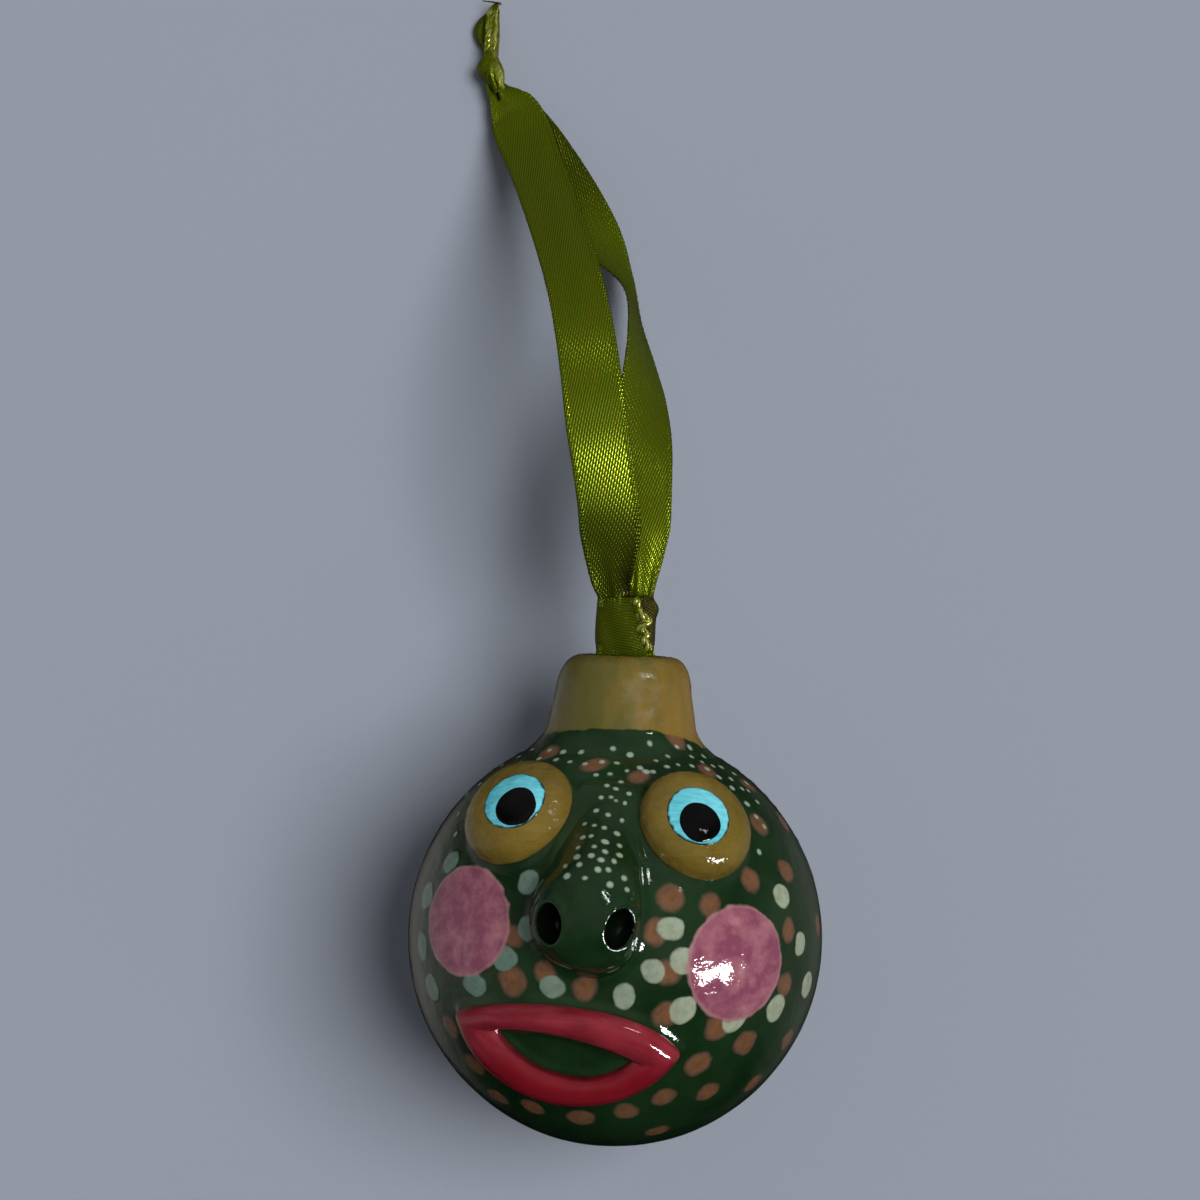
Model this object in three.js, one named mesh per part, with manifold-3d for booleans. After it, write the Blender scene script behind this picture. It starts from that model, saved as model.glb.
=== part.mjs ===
// Clay face ornament: a hollow glazed ball with a modelled face, a neck collar and a satin ribbon hanger.
// It lies on its back, as in the photograph. Millimetres, +Z up. The origin is the middle of the small flat
// that the ball rests on. +Y runs along the neck toward the ribbon, and the face looks up along +Z.
import * as THREE from 'three';
import { mergeVertices } from 'three/addons/utils/BufferGeometryUtils.js';
import Module from 'manifold-3d';

const wasm = await Module();
wasm.setup();

// Ball: two pinched clay bowls, joined rim to rim
const ball_radius = 34;
const ball_wall = 4;
const rest_flat_depth = 1.5;
const clay_gap = 0.3;
const ball_rounds = [48, 24];
const hollow_rounds = [32, 16];

// Neck collar: a clay ring with a rounded rim and a flared foot
const collar_rise = 12.3;
const collar_top_radius = 11.3;
const collar_waist_radius = 12.1;
const collar_waist_rise = 0.6;
const collar_flare_radius = 15.6;
const collar_shoulder = 6;
const collar_edge = 0.5;
const flare_pull = [0.12, 0.55];
const collar_sink = 2;
const rim_rounding = 1;
const rim_steps = 3;
const collar_sides = 40;
const shoulder_steps = 6;
const flare_steps = 4;

// Hanging wire: a straight pin across the mouth of the collar, bedded in its wall
const wire_radius = 0.6;
const wire_bedding = 2;
const wire_depth = 2.2;
const wire_sides = 12;

// Ribbon: one length of satin, hitched round the wire, with its two strands knotted together
const ribbon_width = 10;
const ribbon_thickness = 0.8;
const band_width = 9.8;
const band_height = 9.6;
const band_thickness = 3.8;
const band_fold_thickness = 3.4;
const band_swell = [0.3, 0.8];
const fold_steps = 8;
const ribbon_play = 1.4;
const ribbon_gap = 0.3;
const knot_radii = [2.6, 3, 2.8];
const knot_place = [-27.4, 91.9];
const knot_rounds = [16, 10];

// Eyes: a domed clay mound each, with a flattened iris button and a pupil button pressed on it
const mound_radii = [9.1, 9.5, 6];
const mound_sink = 1;
const mound_rounds = [32, 16];
const button_gap = 0.3;
const iris_radius = 5.05;
const iris_thickness = 0.5;
const pupil_radius = 3.4;
const pupil_thickness = 0.6;
const button_sides = 28;
const eyes = {
  left: { across: -37, up: 38.8, iris: [2, -0.6], pupil: [3, -1.7] },
  right: { across: 25.4, up: 37.2, iris: [-1.5, -0.9], pupil: [-1.8, -2.2] },
};

// Nose: sections from between the eyes down to the tip, each with its angles on the ball in degrees
const nose_sections = [
  { up: 50, across: -6, half_width: 0.9, rise: 0.6 },
  { up: 46, across: -6.2, half_width: 1.6, rise: 1.1 },
  { up: 38, across: -7, half_width: 2.8, rise: 2.2 },
  { up: 31, across: -7, half_width: 4.2, rise: 4.2 },
  { up: 24, across: -7, half_width: 5.8, rise: 6.1 },
  { up: 18, across: -8, half_width: 7.5, rise: 7.3 },
  { up: 11.5, across: -8.4, half_width: 8.5, rise: 7.9 },
  { up: 5.5, across: -8.2, half_width: 8.2, rise: 7.3 },
  { up: 0.8, across: -7.2, half_width: 6.4, rise: 5.4 },
  { up: -2.2, across: -6, half_width: 3.8, rise: 3 },
  { up: -3.8, across: -5.6, half_width: 1.7, rise: 1 },
];
const nose_root = 2;
const nose_sides = 20;
const nostril_radii = [2.2, 3.1, 5];
const nostril_rise = 6.6;
const nostril_rounds = [16, 10];
const nostrils = [
  { across: -15, up: 8.9, roll: -10 },
  { across: 0.5, up: 8.5, roll: 20 },
];

// Mouth: outlines of the lips as curves in the mouth's own frame, in millimetres on the ball
const mouth = { across: -15.2, up: -22.8, roll: 6.4 };
const lip_rise = 3;
const lip_steps = 16;
const lip_sides = 8;
const mouth_corners = { left: [-20.4, 0], right: [20.6, -0.5] };
const opening_corners = { left: [-10.3, 0.2], right: [11.5, -1.3] };
const lips = {
  upper: { outer: [[-10, 7], [11, 11.6]], inner: [[-4.5, 3], [5, 2.3]], side: 1 },
  lower: { outer: [[-12, -17], [12, -13.6]], inner: [[-5.5, -5.5], [6, -7.6]], side: -1 },
};

// Ribbon strands: sideways place, distance beyond the hitch, height as a share of the wire's height, the
// share of the ribbon's width that lies spread, and its roll in degrees, which turns its left edge down
const front_strand = [
  [-2.1, 0.3, 1.04, 0.56, 0],
  [-2.7, 3.1, 1.077, 0.69, 0],
  [-2.9, 6.4, 1.117, 0.85, 0],
  [-3.1, 10.6, 1.16, 1, 0],
  [-3.7, 15.5, 1.2, 1, 0],
  [-4.8, 21.9, 1.237, 1, 0],
  [-5.95, 27.8, 1.249, 1, 0],
  [-7, 34.9, 1.225, 0.99, 0],
  [-8.4, 42.8, 1.145, 0.97, 0],
  [-10.2, 50.7, 1.003, 0.95, 0],
  [-12.6, 58.6, 0.806, 0.94, 0],
  [-15.5, 66.8, 0.566, 0.93, 0],
  [-18.2, 74.1, 0.345, 0.94, 0],
  [-20.3, 80.4, 0.182, 1, 0],
  [-21.9, 84.4, 0.108, 0.96, 0],
  [-23, 86.5, 0.09, 0.76, 0],
  [-24.4, 87.8, 0.085, 0.46, 0],
  [-25.9, 88.8, 0.085, 0.28, 0],
];
const rear_strand = [
  [2.1, 0.3, 0.963, 0.46, 0],
  [2.3, 3.3, 0.963, 0.54, 0],
  [2.4, 6.7, 0.96, 0.7, 0],
  [2.1, 11, 0.945, 0.94, 0],
  [1.9, 15.9, 0.911, 1, 0],
  [1.9, 22.7, 0.837, 1, -4],
  [1.8, 29.1, 0.745, 1, -20],
  [1.7, 35.7, 0.634, 1, -44],
  [0.85, 43.7, 0.505, 1, -69],
  [-0.9, 51.3, 0.369, 1, -81],
  [-4.3, 57.8, 0.252, 1, -57],
  [-8.4, 64.7, 0.142, 0.98, -22],
  [-13.4, 72.9, 0.062, 0.92, -6],
  [-18.2, 79.8, 0.034, 0.86, 0],
  [-21.6, 84.4, 0.032, 0.7, 0],
  [-24.6, 87.4, 0.038, 0.44, 0],
  [-26.2, 89.1, 0.049, 0.3, 0],
];

// Tails: the two cut ends beyond the knot, in the same terms
const long_tail = [
  [-27, 95.5, 0.09, 0.3, 20],
  [-26.7, 97, 0.09, 0.3, 30],
  [-26.4, 99, 0.085, 0.32, 35],
  [-26.2, 101.4, 0.075, 0.26, 30],
  [-26.1, 103.6, 0.06, 0.2, 20],
];
const short_tail = [
  [-29.6, 94.9, 0.05, 0.18, 0],
  [-30.4, 96.4, 0.05, 0.24, 10],
  [-30.8, 98, 0.05, 0.26, 20],
  [-30.3, 99.8, 0.048, 0.18, 25],
];

// Places worked out from the sizes above
const ball_height = ball_radius - rest_flat_depth;
const collar_top = ball_radius + collar_rise;
const bore_radius = band_width / 2 + ribbon_play;
const wire_y = collar_top - wire_depth;
const hitch_top = collar_top + band_height;

const glaze = (color, roughness) => new THREE.MeshStandardMaterial({ color, roughness, metalness: 0 });
const green_glaze = glaze(0x1e3e2a, 0.15);
const ochre_glaze = glaze(0x86692a, 0.2);
const turquoise_glaze = glaze(0x5abecd, 0.2);
const black_glaze = glaze(0x0b0b0d, 0.12);
const red_glaze = glaze(0x9b283c, 0.2);
const satin = glaze(0x4f6410, 0.45);
const wire_metal = new THREE.MeshStandardMaterial({ color: 0x6b645c, roughness: 0.5, metalness: 0.9 });

const ornament = new THREE.Group();
const ball_group = new THREE.Group();
ball_group.position.z = ball_height;
ornament.add(ball_group);

function add_piece(group, name, geometry, material) {
  const mesh = new THREE.Mesh(geometry, material);
  mesh.name = name;
  group.add(mesh);
}

// Six times the volume inside a closed mesh, negative where its faces point inward
function signed_volume(positions, faces) {
  const corner = (i) => new THREE.Vector3().fromArray(positions, 3 * faces[i]);
  let sum = 0;
  for (let i = 0; i < faces.length; i += 3) {
    sum += corner(i).dot(corner(i + 1).cross(corner(i + 2)));
  }
  return sum;
}

function to_geometry(positions, faces) {
  const geometry = new THREE.BufferGeometry();
  geometry.setAttribute('position', new THREE.Float32BufferAttribute(positions, 3));
  geometry.setIndex(Array.from(faces));
  geometry.computeVertexNormals();
  return geometry;
}

function to_solid(geometry) {
  const bare = geometry.clone();
  bare.deleteAttribute('normal');
  bare.deleteAttribute('uv');
  const merged = mergeVertices(bare, 1e-4);
  const positions = merged.attributes.position.array;
  let faces = Array.from(merged.index.array);
  if (signed_volume(positions, faces) < 0) {
    faces = faces.reverse();
  }
  return new wasm.Manifold(new wasm.Mesh({
    numProp: 3,
    vertProperties: Float32Array.from(positions),
    triVerts: Uint32Array.from(faces),
  }));
}

function from_solid(solid) {
  const mesh = solid.getMesh();
  return to_geometry(mesh.vertProperties, mesh.triVerts);
}

// A closed body through rings of points, with its two ends closed by a fan
function loft(rings) {
  const positions = [];
  const faces = [];
  const count = rings[0].length;
  for (const ring of rings) {
    for (const point of ring) {
      positions.push(point.x, point.y, point.z);
    }
  }
  for (let i = 0; i + 1 < rings.length; i += 1) {
    for (let k = 0; k < count; k += 1) {
      const a = i * count + k;
      const b = i * count + (k + 1) % count;
      faces.push(a, b, b + count, a, b + count, a + count);
    }
  }
  for (const [i, turned] of [[0, true], [rings.length - 1, false]]) {
    const middle = new THREE.Vector3();
    for (const point of rings[i]) {
      middle.addScaledVector(point, 1 / count);
    }
    const hub = positions.length / 3;
    positions.push(middle.x, middle.y, middle.z);
    for (let k = 0; k < count; k += 1) {
      const a = i * count + k;
      const b = i * count + (k + 1) % count;
      faces.push(...(turned ? [hub, b, a] : [hub, a, b]));
    }
  }
  if (signed_volume(positions, faces) < 0) {
    faces.reverse();
  }
  return to_geometry(positions, faces);
}

// The axes of a place on the ball: outward, to its right and toward the neck, turned clockwise by roll
function place_on_ball({ across, up, roll = 0 }) {
  const [a, u, r] = [across, up, roll].map(THREE.MathUtils.degToRad);
  const outward = new THREE.Vector3(Math.sin(a) * Math.cos(u), Math.sin(u), Math.cos(a) * Math.cos(u));
  const east = new THREE.Vector3(Math.cos(a), 0, -Math.sin(a));
  const north = outward.clone().cross(east);
  const right = east.clone().multiplyScalar(Math.cos(r)).addScaledVector(north, -Math.sin(r));
  const toward_neck = east.clone().multiplyScalar(Math.sin(r)).addScaledVector(north, Math.cos(r));
  return { outward, right, toward_neck };
}

function turn_to(geometry, place, origin) {
  const matrix = new THREE.Matrix4().makeBasis(place.right, place.toward_neck, place.outward);
  matrix.setPosition(origin);
  return geometry.clone().applyMatrix4(matrix);
}

function ball_solid(radius, rounds) {
  return to_solid(new THREE.SphereGeometry(radius, rounds[0], rounds[1]));
}

// A tall cylinder along Y, as a tool that cuts a bore
function bore_solid(radius, from, to) {
  const bore = new THREE.CylinderGeometry(radius, radius, to - from, collar_sides);
  bore.translate(0, (from + to) / 2, 0);
  return to_solid(bore);
}

function box_solid(size, z_low) {
  const box = new THREE.BoxGeometry(size, size, size);
  box.translate(0, 0, z_low + size / 2);
  return to_solid(box);
}

function make_ball() {
  const reach = 3 * ball_radius;
  const hollow = ball_solid(ball_radius - ball_wall, hollow_rounds);
  const shell = ball_solid(ball_radius, ball_rounds).subtract(hollow);
  const bored = shell.subtract(bore_solid(bore_radius, 0, reach));
  const front = bored.intersect(box_solid(reach, 0));
  const back = bored.intersect(box_solid(reach, -reach)).intersect(box_solid(reach, -ball_height));
  add_piece(ball_group, 'ball_front_half', from_solid(front), green_glaze);
  add_piece(ball_group, 'ball_back_half', from_solid(back), green_glaze);
}

// Height of the ball's surface at a distance from the neck's axis
function ball_surface_at(radius) {
  return Math.sqrt(ball_radius ** 2 - radius ** 2);
}

function collar_profile() {
  const below = ball_surface_at(collar_flare_radius) - collar_sink;
  const waist_y = ball_radius + collar_waist_rise;
  const shoulder_width = collar_top_radius - bore_radius - rim_rounding;
  const profile = [new THREE.Vector2(bore_radius, below)];
  for (let i = 0; i <= rim_steps; i += 1) {
    const turn = (Math.PI / 2) * (i / rim_steps);
    const r = bore_radius + rim_rounding * (1 - Math.cos(turn));
    profile.push(new THREE.Vector2(r, collar_top - rim_rounding * (1 - Math.sin(turn))));
  }
  for (let i = 1; i <= shoulder_steps; i += 1) {
    const turn = (Math.PI / 2) * (i / shoulder_steps);
    const r = bore_radius + rim_rounding + shoulder_width * Math.sin(turn);
    profile.push(new THREE.Vector2(r, collar_top - collar_shoulder * (1 - Math.cos(turn))));
  }
  const flare_width = collar_flare_radius - collar_waist_radius;
  const flare_foot = ball_surface_at(collar_flare_radius) + collar_edge;
  const flare_drop = waist_y - flare_foot;
  const pulled_radius = collar_waist_radius + flare_pull[0] * flare_width;
  const flare = new THREE.QuadraticBezierCurve(
    new THREE.Vector2(collar_waist_radius, waist_y),
    new THREE.Vector2(pulled_radius, flare_foot + flare_pull[1] * flare_drop),
    new THREE.Vector2(collar_flare_radius, flare_foot),
  );
  profile.push(...flare.getPoints(flare_steps));
  profile.push(new THREE.Vector2(collar_flare_radius, below));
  profile.push(profile[0].clone());
  return profile;
}

function wire_geometry(radius, half_length) {
  const wire = new THREE.CylinderGeometry(radius, radius, 2 * half_length, wire_sides);
  wire.rotateZ(Math.PI / 2);
  wire.translate(0, wire_y, 0);
  return wire;
}

function make_collar_and_wire() {
  const half_length = bore_radius + wire_bedding;
  const ring = to_solid(new THREE.LatheGeometry(collar_profile(), collar_sides));
  const seat = ball_solid(ball_radius + clay_gap, ball_rounds);
  const bed = to_solid(wire_geometry(wire_radius + clay_gap, half_length + clay_gap));
  add_piece(ball_group, 'neck_collar', from_solid(ring.subtract(seat).subtract(bed)), ochre_glaze);
  add_piece(ball_group, 'hanging_wire', wire_geometry(wire_radius, half_length), wire_metal);
}

// A dome of the eye mound's shape, grown all round by an offset, at its place on the ball
function mound_dome(place, offset) {
  const dome = new THREE.SphereGeometry(1, mound_rounds[0], mound_rounds[1]);
  dome.rotateX(Math.PI / 2);
  dome.scale(mound_radii[0] + offset, mound_radii[1] + offset, mound_radii[2] + offset);
  const origin = place.outward.clone().multiplyScalar(ball_radius - mound_sink);
  return to_solid(turn_to(dome, place, origin));
}

// A round button pressed onto the mound: the part of a thin shell inside a cylinder square to the dome
function dome_button(place, shift, radius, lift, thickness) {
  const [a, b, c] = mound_radii;
  const height = c * Math.sqrt(1 - (shift[0] / a) ** 2 - (shift[1] / b) ** 2);
  const local_normal = new THREE.Vector3(shift[0] / a ** 2, shift[1] / b ** 2, height / c ** 2).normalize();
  const basis = new THREE.Matrix4().makeBasis(place.right, place.toward_neck, place.outward);
  const spot = new THREE.Vector3(shift[0], shift[1], height).applyMatrix4(basis);
  spot.addScaledVector(place.outward, ball_radius - mound_sink);
  const cutter = new THREE.CylinderGeometry(radius, radius, 2 * c, button_sides);
  const axis = local_normal.applyMatrix4(basis);
  cutter.applyQuaternion(new THREE.Quaternion().setFromUnitVectors(new THREE.Vector3(0, 1, 0), axis));
  cutter.translate(spot.x, spot.y, spot.z);
  const shell = mound_dome(place, lift + thickness).subtract(mound_dome(place, lift));
  return from_solid(shell.intersect(to_solid(cutter)));
}

function make_eyes() {
  const seat = ball_solid(ball_radius + clay_gap, ball_rounds);
  const pupil_lift = 2 * button_gap + iris_thickness;
  for (const [side, eye] of Object.entries(eyes)) {
    const place = place_on_ball(eye);
    const mound = mound_dome(place, 0).subtract(seat);
    const iris = dome_button(place, eye.iris, iris_radius, button_gap, iris_thickness);
    const pupil = dome_button(place, eye.pupil, pupil_radius, pupil_lift, pupil_thickness);
    add_piece(ball_group, `eye_mound_${side}`, from_solid(mound), ochre_glaze);
    add_piece(ball_group, `iris_${side}`, iris, turquoise_glaze);
    add_piece(ball_group, `pupil_${side}`, pupil, black_glaze);
  }
}

function nose_ring(section) {
  const place = place_on_ball(section);
  const ring = [];
  for (let k = 0; k < nose_sides; k += 1) {
    const turn = (2 * Math.PI * k) / nose_sides;
    const reach = Math.sin(turn) > 0 ? section.rise : nose_root;
    const point = place.outward.clone().multiplyScalar(ball_radius + reach * Math.sin(turn));
    ring.push(point.addScaledVector(place.right, section.half_width * Math.cos(turn)));
  }
  return ring;
}

function make_nose() {
  let nose = to_solid(loft(nose_sections.map(nose_ring)));
  nose = nose.subtract(ball_solid(ball_radius + clay_gap, ball_rounds));
  for (const nostril of nostrils) {
    const place = place_on_ball(nostril);
    const pit = new THREE.SphereGeometry(1, nostril_rounds[0], nostril_rounds[1]);
    pit.scale(...nostril_radii);
    const origin = place.outward.clone().multiplyScalar(ball_radius + nostril_rise);
    nose = nose.subtract(to_solid(turn_to(pit, place, origin)));
  }
  add_piece(ball_group, 'nose', from_solid(nose), green_glaze);
}

// A point of the mouth's frame, laid on the ball and lifted off its surface
function mouth_point(flat, lift) {
  const place = place_on_ball(mouth);
  const point = place.outward.clone().multiplyScalar(ball_radius);
  point.addScaledVector(place.right, flat.x);
  point.addScaledVector(place.toward_neck, flat.y);
  return point.setLength(ball_radius + lift);
}

function mouth_curve(corners, handles) {
  const points = [corners.left, handles[0], handles[1], corners.right];
  return new THREE.CubicBezierCurve(...points.map(([u, v]) => new THREE.Vector2(u, v)));
}

function make_lips() {
  for (const [name, lip] of Object.entries(lips)) {
    const outer = mouth_curve(mouth_corners, lip.outer);
    const inner = mouth_curve(opening_corners, lip.inner);
    const parting = new THREE.Vector2(0, (lip.side * clay_gap) / 2);
    const rings = [];
    for (let i = 0; i <= lip_steps; i += 1) {
      const from = outer.getPoint(i / lip_steps).add(parting);
      const to = inner.getPoint(i / lip_steps).add(parting);
      const ring = [];
      for (let k = 0; k <= lip_sides; k += 1) {
        const share = (1 - Math.cos((Math.PI * k) / lip_sides)) / 2;
        const rise = lip_rise * Math.sin((Math.PI * k) / lip_sides);
        ring.push(mouth_point(from.clone().lerp(to, share), clay_gap + rise));
      }
      for (let k = lip_sides - 1; k > 0; k -= 1) {
        const share = (1 - Math.cos((Math.PI * k) / lip_sides)) / 2;
        ring.push(mouth_point(from.clone().lerp(to, share), clay_gap));
      }
      rings.push(ring);
    }
    add_piece(ball_group, `${name}_lip`, loft(rings), red_glaze);
  }
}

// The hitch: ribbon folded round the wire, then a band across the two strands, seen along X
function make_hitch() {
  const fold = band_fold_thickness / 2;
  const bulge = band_thickness / 2;
  const outline = new THREE.Shape();
  outline.absarc(0, 0, fold, Math.PI, 2 * Math.PI, false);
  outline.lineTo(bulge, wire_depth + band_height * band_swell[0]);
  outline.lineTo(bulge, wire_depth + band_height * band_swell[1]);
  outline.lineTo(fold, wire_depth + band_height);
  outline.lineTo(-fold, wire_depth + band_height);
  outline.lineTo(-bulge, wire_depth + band_height * band_swell[1]);
  outline.lineTo(-bulge, wire_depth + band_height * band_swell[0]);
  const eye = new THREE.Path();
  eye.absarc(0, 0, wire_radius + ribbon_gap, 0, 2 * Math.PI, true);
  outline.holes.push(eye);
  const hitch = new THREE.ExtrudeGeometry(outline, {
    depth: band_width,
    bevelEnabled: false,
    curveSegments: fold_steps,
  });
  hitch.translate(0, 0, -band_width / 2);
  hitch.rotateY(-Math.PI / 2);
  hitch.translate(0, wire_y, ball_height);
  add_piece(ornament, 'ribbon_hitch', from_solid(to_solid(hitch)), satin);
}

// A flat ribbon along its route: each ring is square to the run, with its own spread and roll
function ribbon_stretch(route) {
  const middles = route.map(([x, beyond, share]) => {
    return new THREE.Vector3(x, hitch_top + beyond, share * ball_height);
  });
  const rings = route.map(([, , , spread, roll], i) => {
    const before = middles[Math.max(i - 1, 0)];
    const after = middles[Math.min(i + 1, middles.length - 1)];
    const run = i === 0 ? new THREE.Vector3(0, 1, 0) : after.clone().sub(before).normalize();
    const level = run.clone().cross(new THREE.Vector3(0, 0, 1)).normalize();
    const across = level.clone().applyAxisAngle(run, -THREE.MathUtils.degToRad(roll));
    const face = across.clone().cross(run);
    const half = (ribbon_width * spread) / 2;
    const edge = ribbon_thickness / 2;
    const corners = [[half, 0], [half - edge, edge], [0, edge], [edge - half, edge]];
    const mirrored = corners.map(([a, b]) => [-a, -b]);
    return [...corners, ...mirrored].map(([a, b]) => {
      return middles[i].clone().addScaledVector(across, a).addScaledVector(face, b);
    });
  });
  return loft(rings);
}

function make_ribbon() {
  make_hitch();
  add_piece(ornament, 'ribbon_front_strand', ribbon_stretch(front_strand), satin);
  add_piece(ornament, 'ribbon_rear_strand', ribbon_stretch(rear_strand), satin);
  const knot = new THREE.SphereGeometry(1, knot_rounds[0], knot_rounds[1]);
  knot.rotateX(Math.PI / 2);
  knot.scale(...knot_radii);
  knot.translate(knot_place[0], hitch_top + knot_place[1], knot_radii[2]);
  add_piece(ornament, 'ribbon_knot', from_solid(to_solid(knot)), satin);
  add_piece(ornament, 'ribbon_tail_long', ribbon_stretch(long_tail), satin);
  add_piece(ornament, 'ribbon_tail_short', ribbon_stretch(short_tail), satin);
}

make_ball();
make_collar_and_wire();
make_eyes();
make_nose();
make_lips();
make_ribbon();

export default ornament;
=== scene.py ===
import math
import random
from contextlib import contextmanager

import bpy
import numpy as np
from mathutils import Matrix, Vector, noise
from mathutils.bvhtree import BVHTree


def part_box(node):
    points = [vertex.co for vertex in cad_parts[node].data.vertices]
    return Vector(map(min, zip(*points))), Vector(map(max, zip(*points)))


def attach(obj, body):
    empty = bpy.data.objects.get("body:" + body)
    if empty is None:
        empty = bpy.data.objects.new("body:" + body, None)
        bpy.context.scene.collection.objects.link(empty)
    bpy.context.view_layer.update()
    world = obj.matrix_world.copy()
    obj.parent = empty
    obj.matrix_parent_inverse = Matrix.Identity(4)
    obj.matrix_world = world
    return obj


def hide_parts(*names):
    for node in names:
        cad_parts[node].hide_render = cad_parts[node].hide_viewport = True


bl_info = {
    "name": "Clay face ornament",
    "version": (1, 0, 0),
    "blender": (4, 5, 0),
    "location": "3D View > Sidebar > Ornament",
    "description": "Builds the glazed face, neck and satin ribbon of a hand-built clay ornament",
    "category": "Object",
}

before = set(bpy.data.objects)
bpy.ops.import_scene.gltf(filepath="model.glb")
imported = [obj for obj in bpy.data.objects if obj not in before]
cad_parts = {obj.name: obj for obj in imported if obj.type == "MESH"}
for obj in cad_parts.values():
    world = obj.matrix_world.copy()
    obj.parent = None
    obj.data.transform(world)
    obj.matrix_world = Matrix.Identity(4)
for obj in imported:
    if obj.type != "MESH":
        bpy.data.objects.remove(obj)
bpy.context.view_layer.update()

MM = 0.001
BALL_LOW, BALL_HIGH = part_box("ball_front_half")
BALL_CENTRE = Vector((0, 0, BALL_LOW.z))
COLLAR_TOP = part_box("neck_collar")[1].y
HITCH_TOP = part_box("ribbon_hitch")[1].y

# The photograph's side and the camera's focal length, both in pixels; every pixel place below lies in it
PHOTO_SIDE = 1200
PHOTO_FOCAL = 2731.5

# Middles of the painted dots, as they show in the photograph
PALE_DOTS = [
    (451, 862), (529, 882), (427, 896), (528, 929), (422, 946), (504, 958), (474, 984), (432, 988),
    (552, 987), (624, 996), (653, 971), (671, 928), (683, 1010), (782, 896), (800, 944), (776, 1008),
    (807, 985), (734, 1020), (683, 961),
]
TAN_DOTS = [
    (671, 898), (710, 905), (655, 932), (668, 973), (586, 987), (512, 981), (513, 936), (545, 973),
    (751, 880), (786, 871), (789, 931), (745, 1043), (718, 1027), (698, 1064), (708, 1092), (664, 1097),
    (626, 1111), (581, 1118), (532, 1107), (498, 1097), (475, 1065), (451, 1027), (667, 1014), (785, 985),
    (657, 1131), (787, 1040), (759, 824), (783, 822), (811, 866), (818, 925), (753, 1083), (578, 737),
    (630, 737), (672, 746), (548, 753), (594, 765), (639, 777), (707, 770), (748, 785),
]

# Small white dots of the brow and of the nose, in the same way
BROW_SPECKS = [
    (555, 740), (563, 752), (570, 762), (556, 760), (539, 759), (532, 749), (519, 757), (520, 763),
    (502, 765), (590, 733), (600, 741), (581, 752), (613, 750), (630, 755), (617, 763), (627, 771),
    (610, 774), (596, 775), (585, 764), (602, 762), (640, 768), (649, 748), (637, 733), (624, 740),
    (646, 772), (653, 772), (656, 761), (667, 767), (678, 765), (662, 742), (668, 756), (676, 749),
    (689, 749), (692, 756), (702, 762), (704, 756), (692, 766), (713, 766), (721, 767), (719, 777),
    (731, 779), (734, 774), (732, 788), (742, 789), (748, 791), (747, 804), (757, 802), (756, 817),
    (764, 827), (759, 852), (568, 731), (578, 737), (550, 751), (459, 814), (456, 834), (492, 770),
    (480, 784), (467, 794), (707, 769), (746, 783), (657, 735), (690, 738), (700, 746),
]
NOSE_SPECKS = [
    (621, 782), (607, 787), (616, 790), (629, 794), (601, 797), (611, 797), (616, 800), (625, 802),
    (596, 809), (608, 813), (622, 817), (584, 821), (594, 824), (604, 826), (617, 829), (582, 835),
    (591, 835), (605, 840), (620, 840), (577, 845), (594, 846), (605, 850), (620, 850), (576, 855),
    (591, 855), (601, 859), (614, 858), (579, 864), (598, 869), (608, 868), (566, 875), (585, 878),
    (625, 874), (610, 883), (628, 886), (563, 863),
]

# Eyes: place on the ball in degrees, then the shift of iris and pupil on the mound in millimetres
EYES = {
    "left": {"across": -37, "up": 38.8, "iris": (2, -0.6), "pupil": (3, -1.7)},
    "right": {"across": 25.4, "up": 37.2, "iris": (-1.5, -0.9), "pupil": (-1.8, -2.2)},
}

# Cheeks: place on the ball in degrees, then half width and half height in millimetres
CHEEKS = [(-45.6, 7.6, 9.4, 8.7), (34.2, -0.3, 9.1, 9)]

# Nose: up and across in degrees, half width and rise in millimetres, and how softly it leaves the face
NOSE = [
    (50, -6, 2.6, 0.1, 1),
    (46, -6.2, 3.2, 0.5, 1),
    (38, -7, 4, 1.5, 1),
    (31, -7, 4.6, 3.4, 0.8),
    (24, -7, 5.8, 5.9, 0.45),
    (18, -8, 7.5, 7.3, 0.2),
    (11.5, -8.4, 8.5, 7.9, 0.05),
    (5.5, -8.2, 8.2, 7.3, 0),
    (0.8, -7.2, 6.4, 5.4, 0),
    (-2.2, -6, 3.8, 3, 0),
    (-3.8, -5.6, 1.7, 1, 0),
]

# Nostrils: across, up and turn in degrees, then the half sizes of the pressed pit and how far its middle lies
# above the ball, both in millimetres
NOSTRILS = [(-15, 8.9, -10), (0.5, 8.5, 20)]
NOSTRIL_RADII = (2.2, 3.1, 5)
NOSTRIL_LIFT = 6.6

# Mouth: place on the ball in degrees, then the outlines of the lips as curve handles in millimetres
MOUTH_PLACE = (-15.2, -22.8, 6.4)
MOUTH_CORNERS = ((-20.4, 0), (21.1, -0.7))
OPENING_CORNERS = ((-10.3, 0.2), (11.5, -1.3))
UPPER_LIP = {"outer": ((-10, 7), (11, 11.6)), "inner": ((-4.5, 3), (5, 2.3))}
LOWER_LIP = {"outer": ((-12, -17), (12, -13.6)), "inner": ((-5.5, -5.5), (6, -7.6))}

# Edge between ochre and green: degrees round the neck from its front, and millimetres above the ball's middle
OCHRE_EDGE = [
    (-180, 32.4), (-90, 32.7), (-20, 34.6), (20, 34.7), (50, 33.4), (75, 31.7), (100, 30.6), (180, 32.4),
]

# How far the flare of the neck stands above the ball, in millimetres, by degrees up from the ball's girth
FLARE_RISE = [(61.5, 0), (65, 0.25), (69.3, 1.3), (70.7, 2.65)]

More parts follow.
